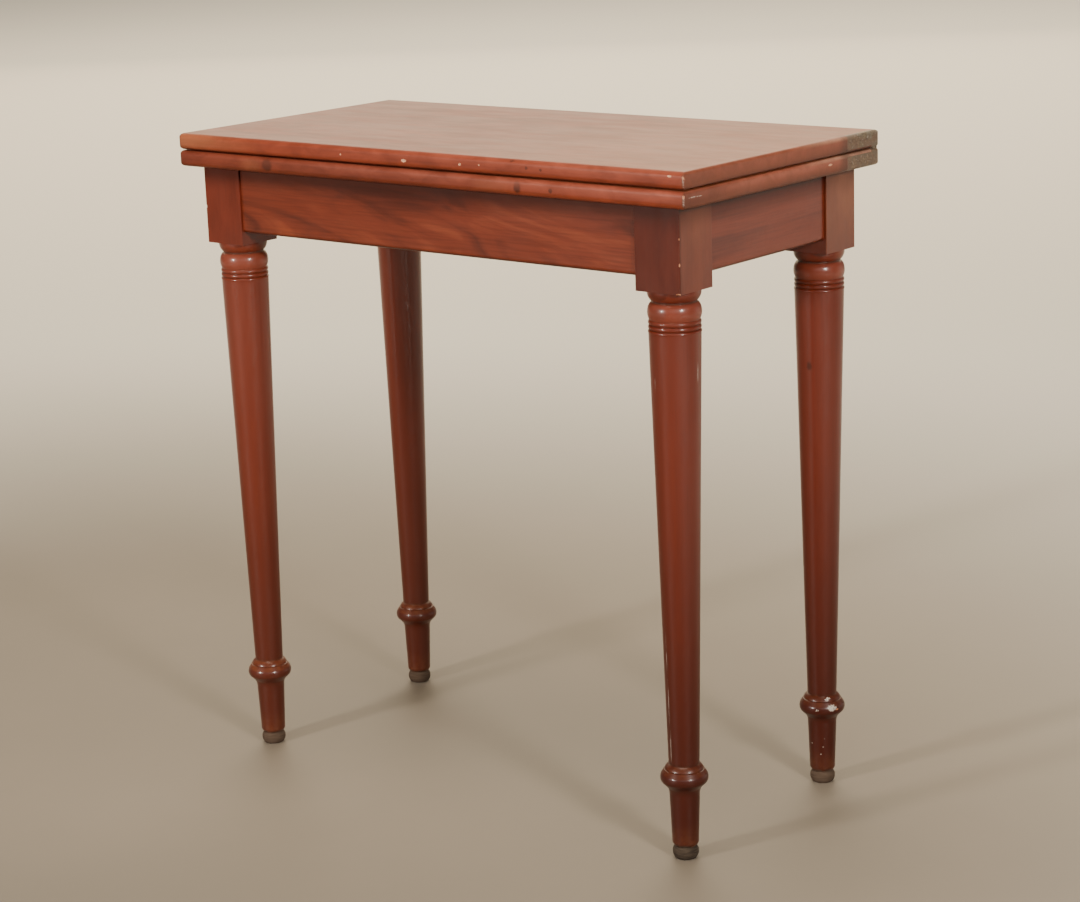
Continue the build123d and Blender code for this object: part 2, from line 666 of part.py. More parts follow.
washer_top = frame_top - pivot_rail_thickness - pivot_play
nut_top = washer_top - pivot_washer_thickness
bolt_bottom = nut_top - pivot_nut_thickness - pivot_bolt_end
with BuildPart() as pivot_bolt:
    with BuildSketch(Plane.XY.offset(lower_leaf_bottom)):
        with Locations((pivot_x, pivot_y)):
            Circle(pivot_bolt_radius)
    with BuildSketch(Plane.XY.offset(lower_leaf_bottom + pivot_plate_thickness)):
        with Locations((pivot_x, pivot_y)):
            Circle(pivot_bolt_head_radius)
    loft()
    with BuildSketch(Plane.XY.offset(bolt_bottom)):
        with Locations((pivot_x, pivot_y)):
            Circle(pivot_bolt_radius)
    extrude(amount=lower_leaf_bottom - bolt_bottom)
    chamfer(pivot_bolt.edges().group_by(Axis.Z)[0], pivot_bolt_chamfer)
save(pivot_bolt, "pivot_bolt")

with BuildPart() as pivot_washer:
    with BuildSketch(Plane.XY.offset(nut_top)):
        with Locations((pivot_x, pivot_y)):
            Circle(pivot_washer_radius)
            Circle(pivot_bolt_radius, mode=Mode.SUBTRACT)
    extrude(amount=pivot_washer_thickness)
save(pivot_washer, "pivot_washer")

with BuildPart() as pivot_nut:
    with BuildSketch(Plane.XY.offset(nut_top - pivot_nut_thickness)):
        with Locations((pivot_x, pivot_y)):
            Rectangle(pivot_nut_width, pivot_nut_width)
    extrude(amount=pivot_nut_thickness)
    chamfer(pivot_nut.faces().sort_by(Axis.Z)[0].edges(), pivot_nut_chamfer)
    with BuildSketch(Plane.XY.offset(nut_top - pivot_nut_thickness)):
        with Locations((pivot_x, pivot_y)):
            Circle(pivot_bolt_radius)
    extrude(amount=pivot_nut_thickness, mode=Mode.SUBTRACT)
save(pivot_nut, "pivot_nut")

with BuildPart() as pivot_plate_screws:
    for plane in pivot_screw_planes():
        screw_shape(plane, pivot_screw_head_radius, pivot_screw_shank_radius, pivot_screw_length)
        screw_slot(plane, pivot_screw_head_radius)
save(pivot_plate_screws, "pivot_plate_screws")

# Stop block that meets the pivot rail when the top is square on the frame, and the rear
# apron when it has made its quarter turn
with BuildPart() as stop_block:
    with BuildSketch(Plane.XY.offset(lower_leaf_bottom - stop_height)):
        with Locations(((stop_left + stop_right) / 2, pivot_y - stop_near_distance - stop_length / 2)):
            Rectangle(stop_width, stop_length)
    extrude(amount=stop_height)
    fillet(stop_block.faces().sort_by(Axis.Z)[0].edges().filter_by(Axis.X), stop_edge_round)
    for plane in stop_screw_planes():
        screw_shape(plane, stop_screw_head_radius, stop_screw_shank_radius, stop_screw_length,
                    screw_clearance, Mode.SUBTRACT)
save(stop_block, "stop_block")

with BuildPart() as stop_screws:
    for plane in stop_screw_planes():
        screw_shape(plane, stop_screw_head_radius, stop_screw_shank_radius, stop_screw_length)
        screw_slot(plane, stop_screw_head_radius)
save(stop_screws, "stop_screws")
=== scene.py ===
"""Folding card table: turned legs, worn leaves and their finishes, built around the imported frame.

The file is laid out as an add-on. Run as a script, it shapes the legs and the leaves, gives every
piece its finish, and sets up a plain floor, studio lights and the camera.
"""

import math
from typing import NamedTuple

import bpy
from bpy.props import FloatProperty, FloatVectorProperty, IntProperty, PointerProperty
from mathutils import Matrix, Vector


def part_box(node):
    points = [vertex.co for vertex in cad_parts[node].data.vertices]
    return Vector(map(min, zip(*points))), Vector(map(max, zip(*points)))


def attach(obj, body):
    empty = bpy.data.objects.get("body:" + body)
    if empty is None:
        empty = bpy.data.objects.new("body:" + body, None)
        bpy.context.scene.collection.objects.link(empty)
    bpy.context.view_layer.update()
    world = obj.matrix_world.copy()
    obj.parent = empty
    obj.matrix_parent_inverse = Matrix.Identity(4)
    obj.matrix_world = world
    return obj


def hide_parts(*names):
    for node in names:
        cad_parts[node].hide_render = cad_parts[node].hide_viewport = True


bl_info = {
    "name": "Folding card table",
    "version": (1, 0, 0),
    "blender": (4, 5, 0),
    "location": "3D View > Sidebar > Card table",
    "description": "Turned legs, worn leaves and aged finishes for a folding card table",
    "category": "Object",
}

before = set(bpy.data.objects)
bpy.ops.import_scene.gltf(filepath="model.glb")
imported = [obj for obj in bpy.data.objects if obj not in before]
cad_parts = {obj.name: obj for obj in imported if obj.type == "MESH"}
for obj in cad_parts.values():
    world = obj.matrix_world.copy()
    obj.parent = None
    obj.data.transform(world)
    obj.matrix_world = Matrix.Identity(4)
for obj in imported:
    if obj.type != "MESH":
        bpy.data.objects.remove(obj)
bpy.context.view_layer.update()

CORNERS = (("front", "left"), ("front", "right"), ("rear", "left"), ("rear", "right"))

# Working lengths, in metres
MERGE_DISTANCE = 0.00001
RING_PITCH = 0.006
BLOCK_BITE = 0.002
HOLLOW_REACH = 0.004
OVERRUN = 0.005

# The least cosine at which an edge counts as parallel to an axis, the angle up to which shading
# is smoothed, and the width of the camera's sensor in millimetres
PARALLEL = 0.999
SMOOTH_ANGLE = math.radians(28)
SENSOR_WIDTH = 36

# Counts
HOLLOW_STEPS = 4
CORNER_STEPS = 3
POCKET_STEPS = 4
BEAD_COUNT = 2

# Chips are cut by small lumps: their radius before they are scaled, how far they are knocked
# out of shape, and the seeds for that
LUMP_RADIUS = 1.1
LUMP_RAGGEDNESS = 0.30
LEG_SEED = 11
LEAF_SEED = 40

# Shares of a stretch, outwards and upwards, at which its arc passes
TOE_FOOT_SHARES = (0.70, 0.38)
TOE_TOP_SHARES = (0.26, 0.62)
ANKLE_SHARES = (0.68, 0.30)
COVE_SHARES = (0.33, 0.60)
CAP_SHARES = (0.33, 0.50)

# Shares of its height at which a swelling passes its named radius
MIDDLE_SHARE = 0.5
COLLAR_SHARE = 0.55
SHOULDER_SHARE = 0.52
RING_SHARE = 0.38

# Soft lamps: name, place, the point that they face or None for straight down, width, height or
# None for a round one, watts and colour
MIDDLE = (0, 0, 0.4)
LAMPS = (
    ("left_lamp", (-0.80, -3.10, 1.36), MIDDLE, 0.38, None, 104, (1.0, 0.94, 0.86)),
    ("right_softbox", (3.0, -1.2, 1.75), MIDDLE, 0.55, None, 106, (1.0, 0.95, 0.88)),
    ("far_panel", (-4.0, 5.1, 2.8), None, 8.0, 8.0, 335, (1.03, 0.855, 0.590)),
    ("high_panel", (-6.2, 9.0, 7.5), None, 9.0, 9.0, 900, (1.0, 0.865, 0.665)),
    ("top_panel", (0.2, -0.4, 3.2), None, 1.8, 1.8, 70, (1.0, 0.865, 0.665)),
    ("side_card", (1.9, 2.2, 0.65), (0.34, 0, 0.6), 1.7, 1.2, 4.4, (1.0, 0.93, 0.84)),
    ("back_card", (-5.74, 6.93, 1.95), (0, 0, 0.75), 9, 2.4, 87, (1.0, 0.765, 0.465)),
    ("fill_card", (2.3, -3.4, 2.0), MIDDLE, 2.4, 1.6, 14, (1.0, 0.95, 0.88)),
)

# Painted shade makes the floor a little darker to the left of the table and in front of it, and
# painted light makes it pale far away: the places in metres between which it changes, and the share
# of light left where it is darkest
FLOOR_LEFT = (-0.95, 0.10, 0.79)
FLOOR_FRONT = (-0.42, -0.05, 0.80)
FLOOR_FAR = (0.9, 2.85)
FLOOR_CENTRE = (-0.32, -0.49, 0)
FLOOR_MOTTLE = 0.94
FLOOR_ROUGHNESS = 0.62

# Chips, knots, dirt, painted shade, scratches, paint, faded places and painted light: the centre
# and the three radii of each, in metres
LEG_CHIPS = {
    ("front", "right"): (((0.3406, -0.1626, 0.679), (0.0009, 0.0009, 0.0016)),
                         ((0.3406, -0.1626, 0.6526), (0.0013, 0.0013, 0.0022)),
                         ((0.3380, -0.1620, 0.6222), (0.0030, 0.0018, 0.0016))),
    ("rear", "right"): (((0.3370, 0.1275, 0.0935), (0.0018, 0.0022, 0.0012)),),
    ("front", "left"): (((-0.3402, -0.1622, 0.664), (0.0012, 0.0012, 0.0026)),),
    ("rear", "left"): (((-0.3402, 0.1622, 0.640), (0.0014, 0.0014, 0.0030)),
                       ((-0.3340, 0.1482, 0.0925), (0.0016, 0.0022, 0.0012))),
}
LEG_KNOTS = (((0.3147, 0.1104, 0.495), (0.0045, 0.004, 0.007)),)
# Painted shade over the front of the front right post
FRONT_POST_SHADE = (((0.3120, -0.1630, 0.670), (0.0900, 0.0040, 0.0900)),)
LEG_SCRATCHES = (((0.3073, -0.1506, 0.131), (0.0010, 0.003, 0.022)),
                 ((0.3064, -0.1513, 0.176), (0.0006, 0.003, 0.026)),
                 ((0.3056, -0.1524, 0.228), (0.0005, 0.003, 0.034)),
                 ((0.3041, -0.1579, 0.525), (0.0008, 0.003, 0.010)),
                 ((0.3377, -0.1321, 0.537), (0.003, 0.0009, 0.013)))
LEG_PAINT = (((0.3344, 0.1212, 0.0960), (0.0050, 0.0068, 0.0042)),
             ((0.3274, 0.1230, 0.1052), (0.0032, 0.0036, 0.0020)),
             ((0.3210, 0.1102, 0.0938), (0.0018, 0.0018, 0.0016)))
LEG_FLECKS = (((0.3230, 0.1195, 0.056), (0.0010, 0.004, 0.0009)),
              ((0.3215, 0.1195, 0.046), (0.0012, 0.004, 0.0010)),
              ((0.3245, 0.1200, 0.041), (0.0016, 0.004, 0.0012)),
              ((0.3190, 0.1190, 0.037), (0.0010, 0.004, 0.0008)),
              ((0.3265, 0.1210, 0.034), (0.0012, 0.004, 0.0008)),
              ((0.3080, 0.1190, 0.049), (0.0009, 0.004, 0.0007)),
              ((0.3290, 0.1210, 0.062), (0.0010, 0.004, 0.0008)))
# Painted light on the right faces of the right posts
RIGHT_POST_LIGHT = (((0.3415, 0.1340, 0.6680), (0.0040, 0.0700, 0.1100)),
             ((0.3428, -0.1340, 0.6680), (0.0040, 0.0700, 0.1100)))
LEAF_CHIPS = {
    "upper": (((-0.0105, -0.1800, 0.7393), (0.0042, 0.0010, 0.0019)),
              ((0.0690, -0.1800, 0.7401), (0.0019, 0.0009, 0.0016)),
              ((0.0957, -0.1800, 0.7409), (0.0009, 0.0006, 0.0010)),
              ((-0.1036, -0.1800, 0.7405), (0.0012, 0.0004, 0.0010)),
              ((0.3430, -0.1797, 0.7450), (0.0030, 0.0010, 0.0014)),
              ((0.3592, -0.1792, 0.7440), (0.0012, 0.0012, 0.0022)),
              ((0.1800, 0.1800, 0.7420), (0.0040, 0.0010, 0.0016)),
              ((-0.2300, 0.1800, 0.7400), (0.0030, 0.0010, 0.0014)),
              ((-0.3600, 0.0400, 0.7420), (0.0010, 0.0034, 0.0016))),
    "lower": (((0.3600, -0.0467, 0.7298), (0.0010, 0.0014, 0.0016)),
              ((0.3600, 0.0845, 0.7233), (0.0008, 0.0040, 0.0013)),
              ((0.3592, -0.1790, 0.7250), (0.0012, 0.0012, 0.0024)),
              ((-0.1400, 0.1800, 0.7180), (0.0040, 0.0009, 0.0014)),
              ((-0.3600, -0.0700, 0.7200), (0.0009, 0.0030, 0.0014))),
}
LEAF_KNOTS = {
    "upper": (((0.1600, -0.1795, 0.7417), (0.0026, 0.003, 0.0022)),
              ((0.1790, -0.1795, 0.7407), (0.0024, 0.003, 0.0020)),
              ((0.1400, -0.1795, 0.7480), (0.0050, 0.003, 0.0016))),
    "lower": (((0.1465, -0.1795, 0.7210), (0.0062, 0.004, 0.0085)),
              ((0.1910, -0.1795, 0.7200), (0.0036, 0.003, 0.0036)),
              ((-0.2190, -0.1795, 0.7215), (0.0100, 0.004, 0.0095))),
}
LEAF_FADED = {
    "upper": (((-0.3600, -0.1800, 0.7420), (0.1500, 0.0200, 0.0160)),),
    "lower": (((-0.2450, -0.1800, 0.7200), (0.0240, 0.0100, 0.0120)),
              ((0.1150, -0.1800, 0.7200), (0.0400, 0.0100, 0.0120))),
}
LEAF_SCRATCHES = {
    "upper": (((0.3590, -0.1790, 0.7405), (0.0014, 0.0014, 0.0075)),),
    "lower": (((0.3600, -0.1640, 0.7232), (0.002, 0.0100, 0.0008)),
              ((0.3600, -0.1540, 0.7228), (0.002, 0.0060, 0.0006)),
              ((0.3590, -0.1790, 0.7210), (0.0014, 0.0014, 0.0075))),
}
# Dirt beside the hinges, as seen at the right end
HINGE_DIRT = (((0.3590, 0.1160, 0.7309), (0.0120, 0.0190, 0.0400)),
              ((0.3590, 0.1450, 0.7309), (0.0100, 0.0550, 0.0050)))


class Pattern(NamedTuple):
    """Noise: its pitch in waves per metre along and across the grain, and its make-up."""

    along: float
    across: float
    detail: float = 3.0
    roughness: float = 0.6
    distortion: float = 0.0


def even(pitch, *make_up):
    """Give a pattern with the same pitch in all directions."""
    return Pattern(pitch, pitch, *make_up)


WANDER = Pattern(1.6, 5.0, 3.0, 0.55, 0.4)
STREAK = Pattern(1.8, 60.0, 4.0, 0.6, 0.25)
FIBRE = Pattern(14.0, 430.0, 3.0, 0.6, 0.1)
WAVES = Pattern(6.0, 30.0, 3.0, 0.5, 1.6)
SMEAR = Pattern(24.0, 50.0, 3.0, 0.6, 0.5)
PORES = Pattern(75.0, 1500.0, 2.0, 0.5)
SHINE = Pattern(9.0, 30.0, 4.0)
PATCHES = Pattern(14.0, 45.0, 3.0, 0.55)
RAGGED = Pattern(90.0, 260.0, 4.0, 0.65)
CLOUDS = Pattern(16.0, 42.0)
TOE_RINGS = Pattern(700.0, 60.0)
BREAKS = Pattern(60.0, 700.0)
PLANING = Pattern(5.0, 11.0, 2.0, 0.5)
BARE_STREAK = Pattern(2.0, 60.0, 5.0, 0.6, 0.3)
BARE_FIBRE = Pattern(16.0, 500.0)
CLOUD = even(8.0, 3.0, 0.55, 0.3)
WORN_PATCH = even(21.0)
DENTS = even(90.0, 3.0, 0.5)
MOTTLE = even(120.0)
OUTLINE = even(380.0)
BARE_DIRT = even(9.0, 4.0)
TORN_FIBRE = even(900.0)
CRUST = even(95.0, 4.0, 0.65, 0.4)
BRASS_SPECKS = even(420.0, 4.0)
BRASS_SOIL = even(55.0)
GLINTS = even(300.0, 2.0, 0.5)
IRON_SPECKS = even(300.0, 4.0)
RUST_SPOTS = even(140.0, 4.0, 0.65)
FLOOR_PATCHES = even(2.4, 5.0)

# Shares of each pattern in the stain, and how far the tone strays from its middle
STREAK_SHARE = 0.45
CLOUD_SHARE = 0.30
WANDER_SHARE = 0.25
WAVE_SHARE = 0.65
TONE_SPREAD = 0.18
PORE_SHARE = 0.30

# Shares of the dark streak's light that are left in the tone for dirt and painted shade, and in the
# tone for the shade painted on the legs
DEEP_SHARE = 0.40
SHADE_TONE_SHARE = 0.35

# How strongly each kind of dirt, wear, painted shade and painted light covers the stain
UNDER_LEAF_SHADE_STRENGTH = 0.85
FOOT_SHADE_STRENGTH = 0.60
KNOT_STRENGTH = 0.95
RUB_STRENGTH = 0.55
SCRATCH_STRENGTH = 0.50
PAINT_STRENGTH = 0.85
HINGE_DIRT_STRENGTH = 0.60
RIGHT_POST_LIGHT_STRENGTH = 0.46
CREST_STRENGTH = 0.09
HOLLOW_STRENGTH = 0.70
SCUFF_STRENGTH = 0.09
COLLAR_STRENGTH = 0.13
BLOCK_SHADE_STRENGTH = 0.22
END_GRAIN_STRENGTH = 0.60
END_FOOT_SHADE_STRENGTH = 0.75
CROWN_HIGHLIGHT_STRENGTH = 0.60
RIM_STRENGTH = 0.32

# The same for the left legs and the right ones, and for the front legs and the rear ones. The
# one changes into the other within SIDE_REACH of the middle.
SIDE_REACH = 0.1
# Painted shade towards the floor and over the right legs, painted light on the left legs' turnings,
# then darker knops on the right legs
LOWER_SHADE_BY_SIDE = (0.73, 0.80)
SHADE_BY_SIDE = (0.0, 0.20)
PAINTED_LIGHT_BY_SIDE = (0.11, 0.0)
KNOP_BY_SIDE = (0.0, 0.22)
DUST_BY_SIDE = (0.18, 0.09)
CLEAN_BY_SIDE = (0.4, 0.0)
CLEAN_BY_ROW = (0.0, 0.4)

VARNISH_IOR = 1.46
VARNISH_SPECULAR = 0.28
VARNISH_ROUGHNESS = 0.13

# Depths in metres: painted shade under the leaves and its waves, painted shade along the aprons'
# feet, the rubbing along the edges with its wear, raggedness and patches, and the relief of the
# wood and the metals
UNDER_LEAF_SHADE_DEPTHS = (0.030, 0.004)
UNDER_LEAF_SHADE_WAVE = 0.006
FOOT_SHADE_HEIGHTS = (0.0040, 0.0010)
RUB_EDGE = (0.0022, 0.0002)
LEAF_WEAR = -0.002
LEG_WEAR = -0.004
RAGGED_SHIFT = 0.006
PATCH_SHIFT = 0.014
PLANING_DEPTH = 0.0007
DENT_DEPTH = 0.0001
FIBRE_DEPTH = 0.00003
BARE_DEPTH = 0.0002
PIT_DEPTH = 0.00035
SPECK_DEPTH = 0.00012

# How far a turned surface stands out of its neighbours on a crest, and lies below in a hollow
CREST_EDGE = (-0.0002, -0.0011)
HOLLOW_EDGE = (0.0003, 0.0016)

# Bands on the legs, as heights where each starts, is full, is still full and ends, then edges,
# as the heights between which they come up, and how far they wave or fade
KNOP_BAND = (0.0800, 0.0880, 0.1060, 0.1120)
DUST_BAND = (0.0955, 0.0985, 0.1060, 0.1110)
COLLAR_BAND = (0.588, 0.593, 0.607, 0.611)
TOE_EDGE = (0.0178, 0.0140)
SCUFF_EDGE = (0.046, 0.020)
# Painted shade on the legs, growing towards the floor
LOWER_SHADE_EDGE = (0.50, 0.02)
TOE_WAVE = 0.004
TURNED_FADE = 0.004
BLOCK_SHADE_FADE = 0.001

# Bands and edges on the rim of the leaves, as heights above the underside of the leaf, and
# distances from its ends, its faces and the joint
# Painted light on the upper part of a leaf's edges, with handling wear
HANDLED_LIT_BAND = (0.0055, 0.0150, 0.0180, 0.0190)
# Painted highlight along the top of a leaf's ends
CROWN_HIGHLIGHT_BAND = (0.0135, 0.0178, 0.0187, 0.0190)
RIM_EDGE = (0.0182, 0.0190)
# Painted shade low on a leaf's ends, kept below the top
END_FOOT_SHADE = (0.0078, 0.0015)
END_SHADE_HEAD = (0.0185, 0.0160)
END_GRAIN_REACH = (0.0036, 0.0008)
FACE_MARGIN = 0.0003
SEAM_MARGIN = 0.0002

# Where that wear, painted light and painted shade lie: the places along X or Y between which it
# changes, with what it is there
HANDLED_LIT_ALONG = (-0.34, 0.20, 0.45, 1.2)
RIM_ALONG = (-0.1, 0.36)
CROWN_HIGHLIGHT_ALONG = (0.0, 0.12)
SHADED_CORNER_ALONG = (-0.04, -0.17)

# Where the brass is soiled towards the front, where shade is painted on it below the joint, and
# where its top edge is rubbed bright
BRASS_FRONT = (0.146, 0.124)
BRASS_JOINT_SHADE = (0.7312, 0.7302)
BRASS_ARRIS = (0.7455, 0.7490)


class LeafLook(NamedTuple):
    """How one leaf has aged, and the light and shade painted on it."""

    below: bool
    light: float
    faded: float
    handled_and_lit: float
    shaded_corner: float
    joint_dirt_and_shade: float


# The light share scales the leaves' fading and painted light, so the lower leaf is painted darker
LEAF_LOOKS = {"lower": LeafLook(True, 0.78, 0.16, 0.16, 0.75, 0.0013),
              "upper": LeafLook(False, 1.0, 0.50, 0.09, 0.35, 0.0030)}

# Painted shade on the left half of the lower leaf and painted light towards its right end: places
# along X, and the shades there
LOWER_LEAF_SHADE = (-0.05, 0.30, 0.84, 1.28)

# Contrast of the stain and slant of its waves, in the long aprons and the short ones
APRON_FIGURE = ((1.2, -0.17), (0.9, 0.0))


def length(name, description, millimetres):
    """Make a length property whose default is given in millimetres."""
    return FloatProperty(name=name, description=description, default=millimetres / 1000,
                         unit="LENGTH", precision=5)


def share(name, description, value):
    """Make a plain number property from 0 to 1."""
    return FloatProperty(name=name, description=description, default=value, min=0, max=1,
                         subtype="FACTOR")


def stain(name, description, red, green, blue):
    """Make a colour property in linear light."""
    return FloatVectorProperty(name=name, description=description, default=(red, green, blue),
                               size=3, subtype="COLOR", min=0, max=1)


class TurnedLegSizes(bpy.types.PropertyGroup):
    """Radii and heights of the turned leg, from the floor up."""

    steps: IntProperty(name="Steps", description="Flats round the turning", default=96, min=24)
    toe_floor_radius: length("Toe at floor", "Radius of the worn toe where it stands", 11.2)
    toe_radius: length("Toe", "Widest radius of the toe", 14.1)
    toe_swell: length("Toe swell", "Height at which the toe is widest", 7.6)
    toe_neck_radius: length("Toe neck", "Radius above the toe", 11.7)
    toe_height: length("Toe height", "Height of the toe", 13.2)
    neck_rise: length("Neck rise", "Height of the neck above the toe", 1.2)
    ankle_radius: length("Ankle", "Radius at the foot of the lower taper", 14.4)
    ankle_height: length("Ankle height", "Height of the rounded end above the neck", 6.3)
    taper_height: length("Lower taper height", "Height of the lower taper", 51.3)
    taper_top_radius: length("Lower taper top", "Radius at the top of the lower taper", 16.3)
    cove_height: length("Cove height", "Height of the cove under the knop", 9.3)
    cove_top_radius: length("Cove top", "Radius at the top of the cove", 18.4)
    underside_height: length("Knop underside", "Height of the knop's sloping underside", 6.4)
    rim_edge_radius: length("Rim edge", "Radius at both edges of the knop's rim", 24.6)
    rim_radius: length("Rim", "Widest radius of the knop", 25.9)
    rim_height: length("Rim height", "Height of the knop's rim", 9.6)
    slope_height: length("Slope height", "Height of the slope above the rim", 4.2)
    slope_top_radius: length("Slope top", "Radius at the top of the slope", 21.8)
    groove_radius: length("Knop groove", "Radius in the groove above the knop", 20.6)
    groove_height: length("Knop groove height", "Height of the groove above the knop", 0.9)
    cap_radius: length("Knop shoulder", "Radius at the foot of the shoulder above the groove", 21)
    cap_height: length("Knop shoulder height", "Height of the shoulder above the groove", 5.6)
    shaft_bottom_radius: length("Shaft foot", "Radius at the bottom of the shaft", 16.6)
    shaft_top_radius: length("Shaft top", "Radius at the top of the shaft", 27.4)
    lip_radius: length("Shaft lip", "Radius of the lip under the beads", 27.8)
    lip_height: length("Shaft lip height", "Height of the lip under the beads", 3.5)
    bead_pitch: length("Bead pitch", "Height of one bead", 5.1)
    bead_radius: length("Bead", "Widest radius of a bead", 27.6)
    bead_groove_radius: length("Bead groove", "Radius in the grooves beside the beads", 26.3)
    collar_height: length("Collar height", "Height of the collar", 13)
    collar_radius: length("Collar", "Widest radius of the collar", 28.2)
    collar_top_radius: length("Collar top", "Radius at the top of the collar", 27.5)
    shoulder_height: length("Shoulder height", "Height of the shoulder above the collar", 5.6)
    shoulder_radius: length("Shoulder", "Radius half way up the shoulder", 26.2)
    neck_radius: length("Neck", "Radius of the neck under the ring", 23.6)
    neck_height: length("Neck height", "Height of the neck under the ring", 0.8)
    ring_height: length("Ring height", "Height of the ring under the block", 11.4)
    ring_radius: length("Ring", "Radius of the ring where it swells", 26.9)
    ring_top_radius: length("Ring top", "Radius of the ring at the block", 28)
    block_height: length("Block height", "Height of the square block", 89.5)
    block_round: length("Block arris", "Rounding of the block's edges", 0.8)


class LeafSizes(bpy.types.PropertyGroup):
    """Roundings and recesses of the two leaves."""

    edge_round: length("Edge rounding", "Rounding of a leaf's long and short edges", 4)
    front_round: length("Front rounding", "Rounding of a leaf's front edge, above and below", 6.5)
    hinge_round: length("Hinge edge rounding", "Rounding of the edges that roll on each other", 4.8)
    corner_round: length("Corner rounding", "Rounding of a leaf's upright corners", 1.2)
    round_steps: IntProperty(name="Rounding steps", description="Flats across a rounding",
                             default=8)
    knuckle_length: length("Knuckle", "Length of the hinge's knuckle", 14)
    wood_strip: length("Wood strip", "Wood left between a hinge plate and the meeting face", 3.3)
    pivot_corner: length("Pivot plate corner", "Rounding of the pivot plate's corners", 4)


class Finishes(bpy.types.PropertyGroup):
    """Colours of the stained wood, the bare wood and the metals."""

    wood_dark: stain("Dark streak", "Stained wood in its dark streaks", 0.070, 0.0125, 0.006)
    wood_middle: stain("Stained wood", "Stained wood at its middle tone", 0.134, 0.0225, 0.0090)
    wood_light: stain("Light streak", "Stained wood in its light streaks", 0.190, 0.0375, 0.0145)
    leg_dark: stain("Leg streak", "Dark streaks of the turned legs", 0.090, 0.0130, 0.0059)
    leg_middle: stain("Leg wood", "Turned legs at their middle tone", 0.125, 0.0180, 0.0073)
    leg_light: stain("Leg light", "Light streaks of the turned legs", 0.160, 0.0262, 0.0104)
    # Painted light, laid on the turnings of the left legs
    painted_leg_light: stain("Leg brown", "Lighter and browner tint of the left legs", 0.22, 0.058, 0.031)
    rubbed_wood: stain("Rubbed wood", "Wood where the stain is rubbed thin", 0.46, 0.19, 0.090)
    # Also laid as painted light on the upper part of the leaves' edges
    handled_and_lit_wood: stain("Handled wood", "Edges rubbed pale by hands", 0.52, 0.15, 0.095)
    # Also laid as a painted highlight along the top of the leaves' ends
    bare_wood_and_highlight: stain("Bare wood", "Pale wood in chips and knocks", 0.68, 0.43, 0.29)
    grime: stain("Grime", "Dirt in hollows and on the toes", 0.028, 0.019, 0.013)
    toe_wood: stain("Toe wood", "Worn wood of the toes", 0.062, 0.044, 0.030)
    pale_toe: stain("Pale toe", "Paler wood of the less dirty toes", 0.115, 0.070, 0.046)
    knot: stain("Knot", "Knots and bruises in the stained wood", 0.055, 0.0115, 0.0050)
    end_grain: stain("End grain", "Stained wood across its grain", 0.125, 0.043, 0.020)
    paint: stain("Old paint", "White paint on the rear right leg", 0.53, 0.46, 0.39)
    # Also laid as painted light on the right faces of the right posts
    faded_and_lit_wood: stain("Faded wood", "Golden wood where the stain has faded", 0.36, 0.135, 0.052)
    inner_wood: stain("Inner wood", "Unstained wood inside the frame", 0.47, 0.30, 0.17)
    brass: stain("Brass", "Brass where it still shines", 0.330, 0.245, 0.150)
    verdigris: stain("Verdigris", "Green crust on the brass", 0.108, 0.090, 0.061)
    tarnish: stain("Tarnish", "Brown tarnish on the brass", 0.075, 0.050, 0.032)
    # Also laid as painted shade on the hinge plates below the joint
    soil_and_shade: stain("Soil", "Brown dirt worked into the brass", 0.105, 0.050, 0.028)
    iron: stain("Iron", "Dark iron of the pivot and the screws", 0.06, 0.055, 0.05)
    rust: stain("Rust", "Rust on the iron", 0.144, 0.0715, 0.04)
    varnish_gloss: share("Varnish gloss", "Weight of the varnish on the frame", 0.30)
    worn_gloss: share("Worn gloss", "Weight of the varnish on the leaves", 0.12)
    # How much lighter the leaves are stained than the aprons: partly fading, partly painted light
    fading_and_light: FloatProperty(name="Fading", description="How much lighter the upper leaf has faded",
                          default=1.42, min=0.5, max=2)


class StudioSettings(bpy.types.PropertyGroup):
    """Camera, floor and lights."""

    camera_place: FloatVectorProperty(name="Camera place", description="Where the camera stands",
                                      default=(1.8403, -2.2024, 1.1074), subtype="TRANSLATION")
    camera_bearing: FloatProperty(name="Bearing", description="Turn of the camera to its left",
                                  default=0.6917, subtype="ANGLE")
    camera_tilt: FloatProperty(name="Tilt", description="Tilt of the camera above level",
                               default=-0.2484, subtype="ANGLE")
    camera_roll: FloatProperty(name="Roll", description="Roll of the camera about its own axis",
                               default=-0.0347, subtype="ANGLE")
    lens: FloatProperty(name="Lens", description="Focal length on a 36 mm wide sensor",
                        default=85.320, unit="CAMERA")
    floor_size: length("Floor size", "Width of the square floor", 70000)
    floor_colour: stain("Floor", "Pale floor round the table", 0.214, 0.175, 0.131)
    # Painted light: the floor far from the table is paler
    far_floor_painted_light: stain("Far floor", "Paler floor further away", 0.712, 0.683, 0.628)
    air_colour: stain("Surroundings", "Light from all round", 0.80, 0.76, 0.69)
    air_strength: share("Surroundings strength", "Strength of the light from all round", 0.20)


# Modelling by hand

def take(piece):
    """Leave edit mode and select one piece alone."""
    if bpy.context.object is not None and bpy.context.object.mode != "OBJECT":
        bpy.ops.object.mode_set(mode="OBJECT")
    bpy.ops.object.select_all(action="DESELECT")
    if piece is not None:
        piece.select_set(True)
        bpy.context.view_layer.objects.active = piece


def settle(piece):
    """Put a piece's place, turn and scale into its mesh."""
    take(piece)
    bpy.ops.object.transform_apply(location=True, rotation=True, scale=True)


def add_box(name, low, high):
    """Add a box between its lowest and highest corners."""
    take(None)
    low, high = Vector(low), Vector(high)
    bpy.ops.mesh.primitive_cube_add(size=1, location=(low + high) / 2)
    piece = bpy.context.object
    piece.name = name
    piece.scale = high - low
    settle(piece)
    return piece


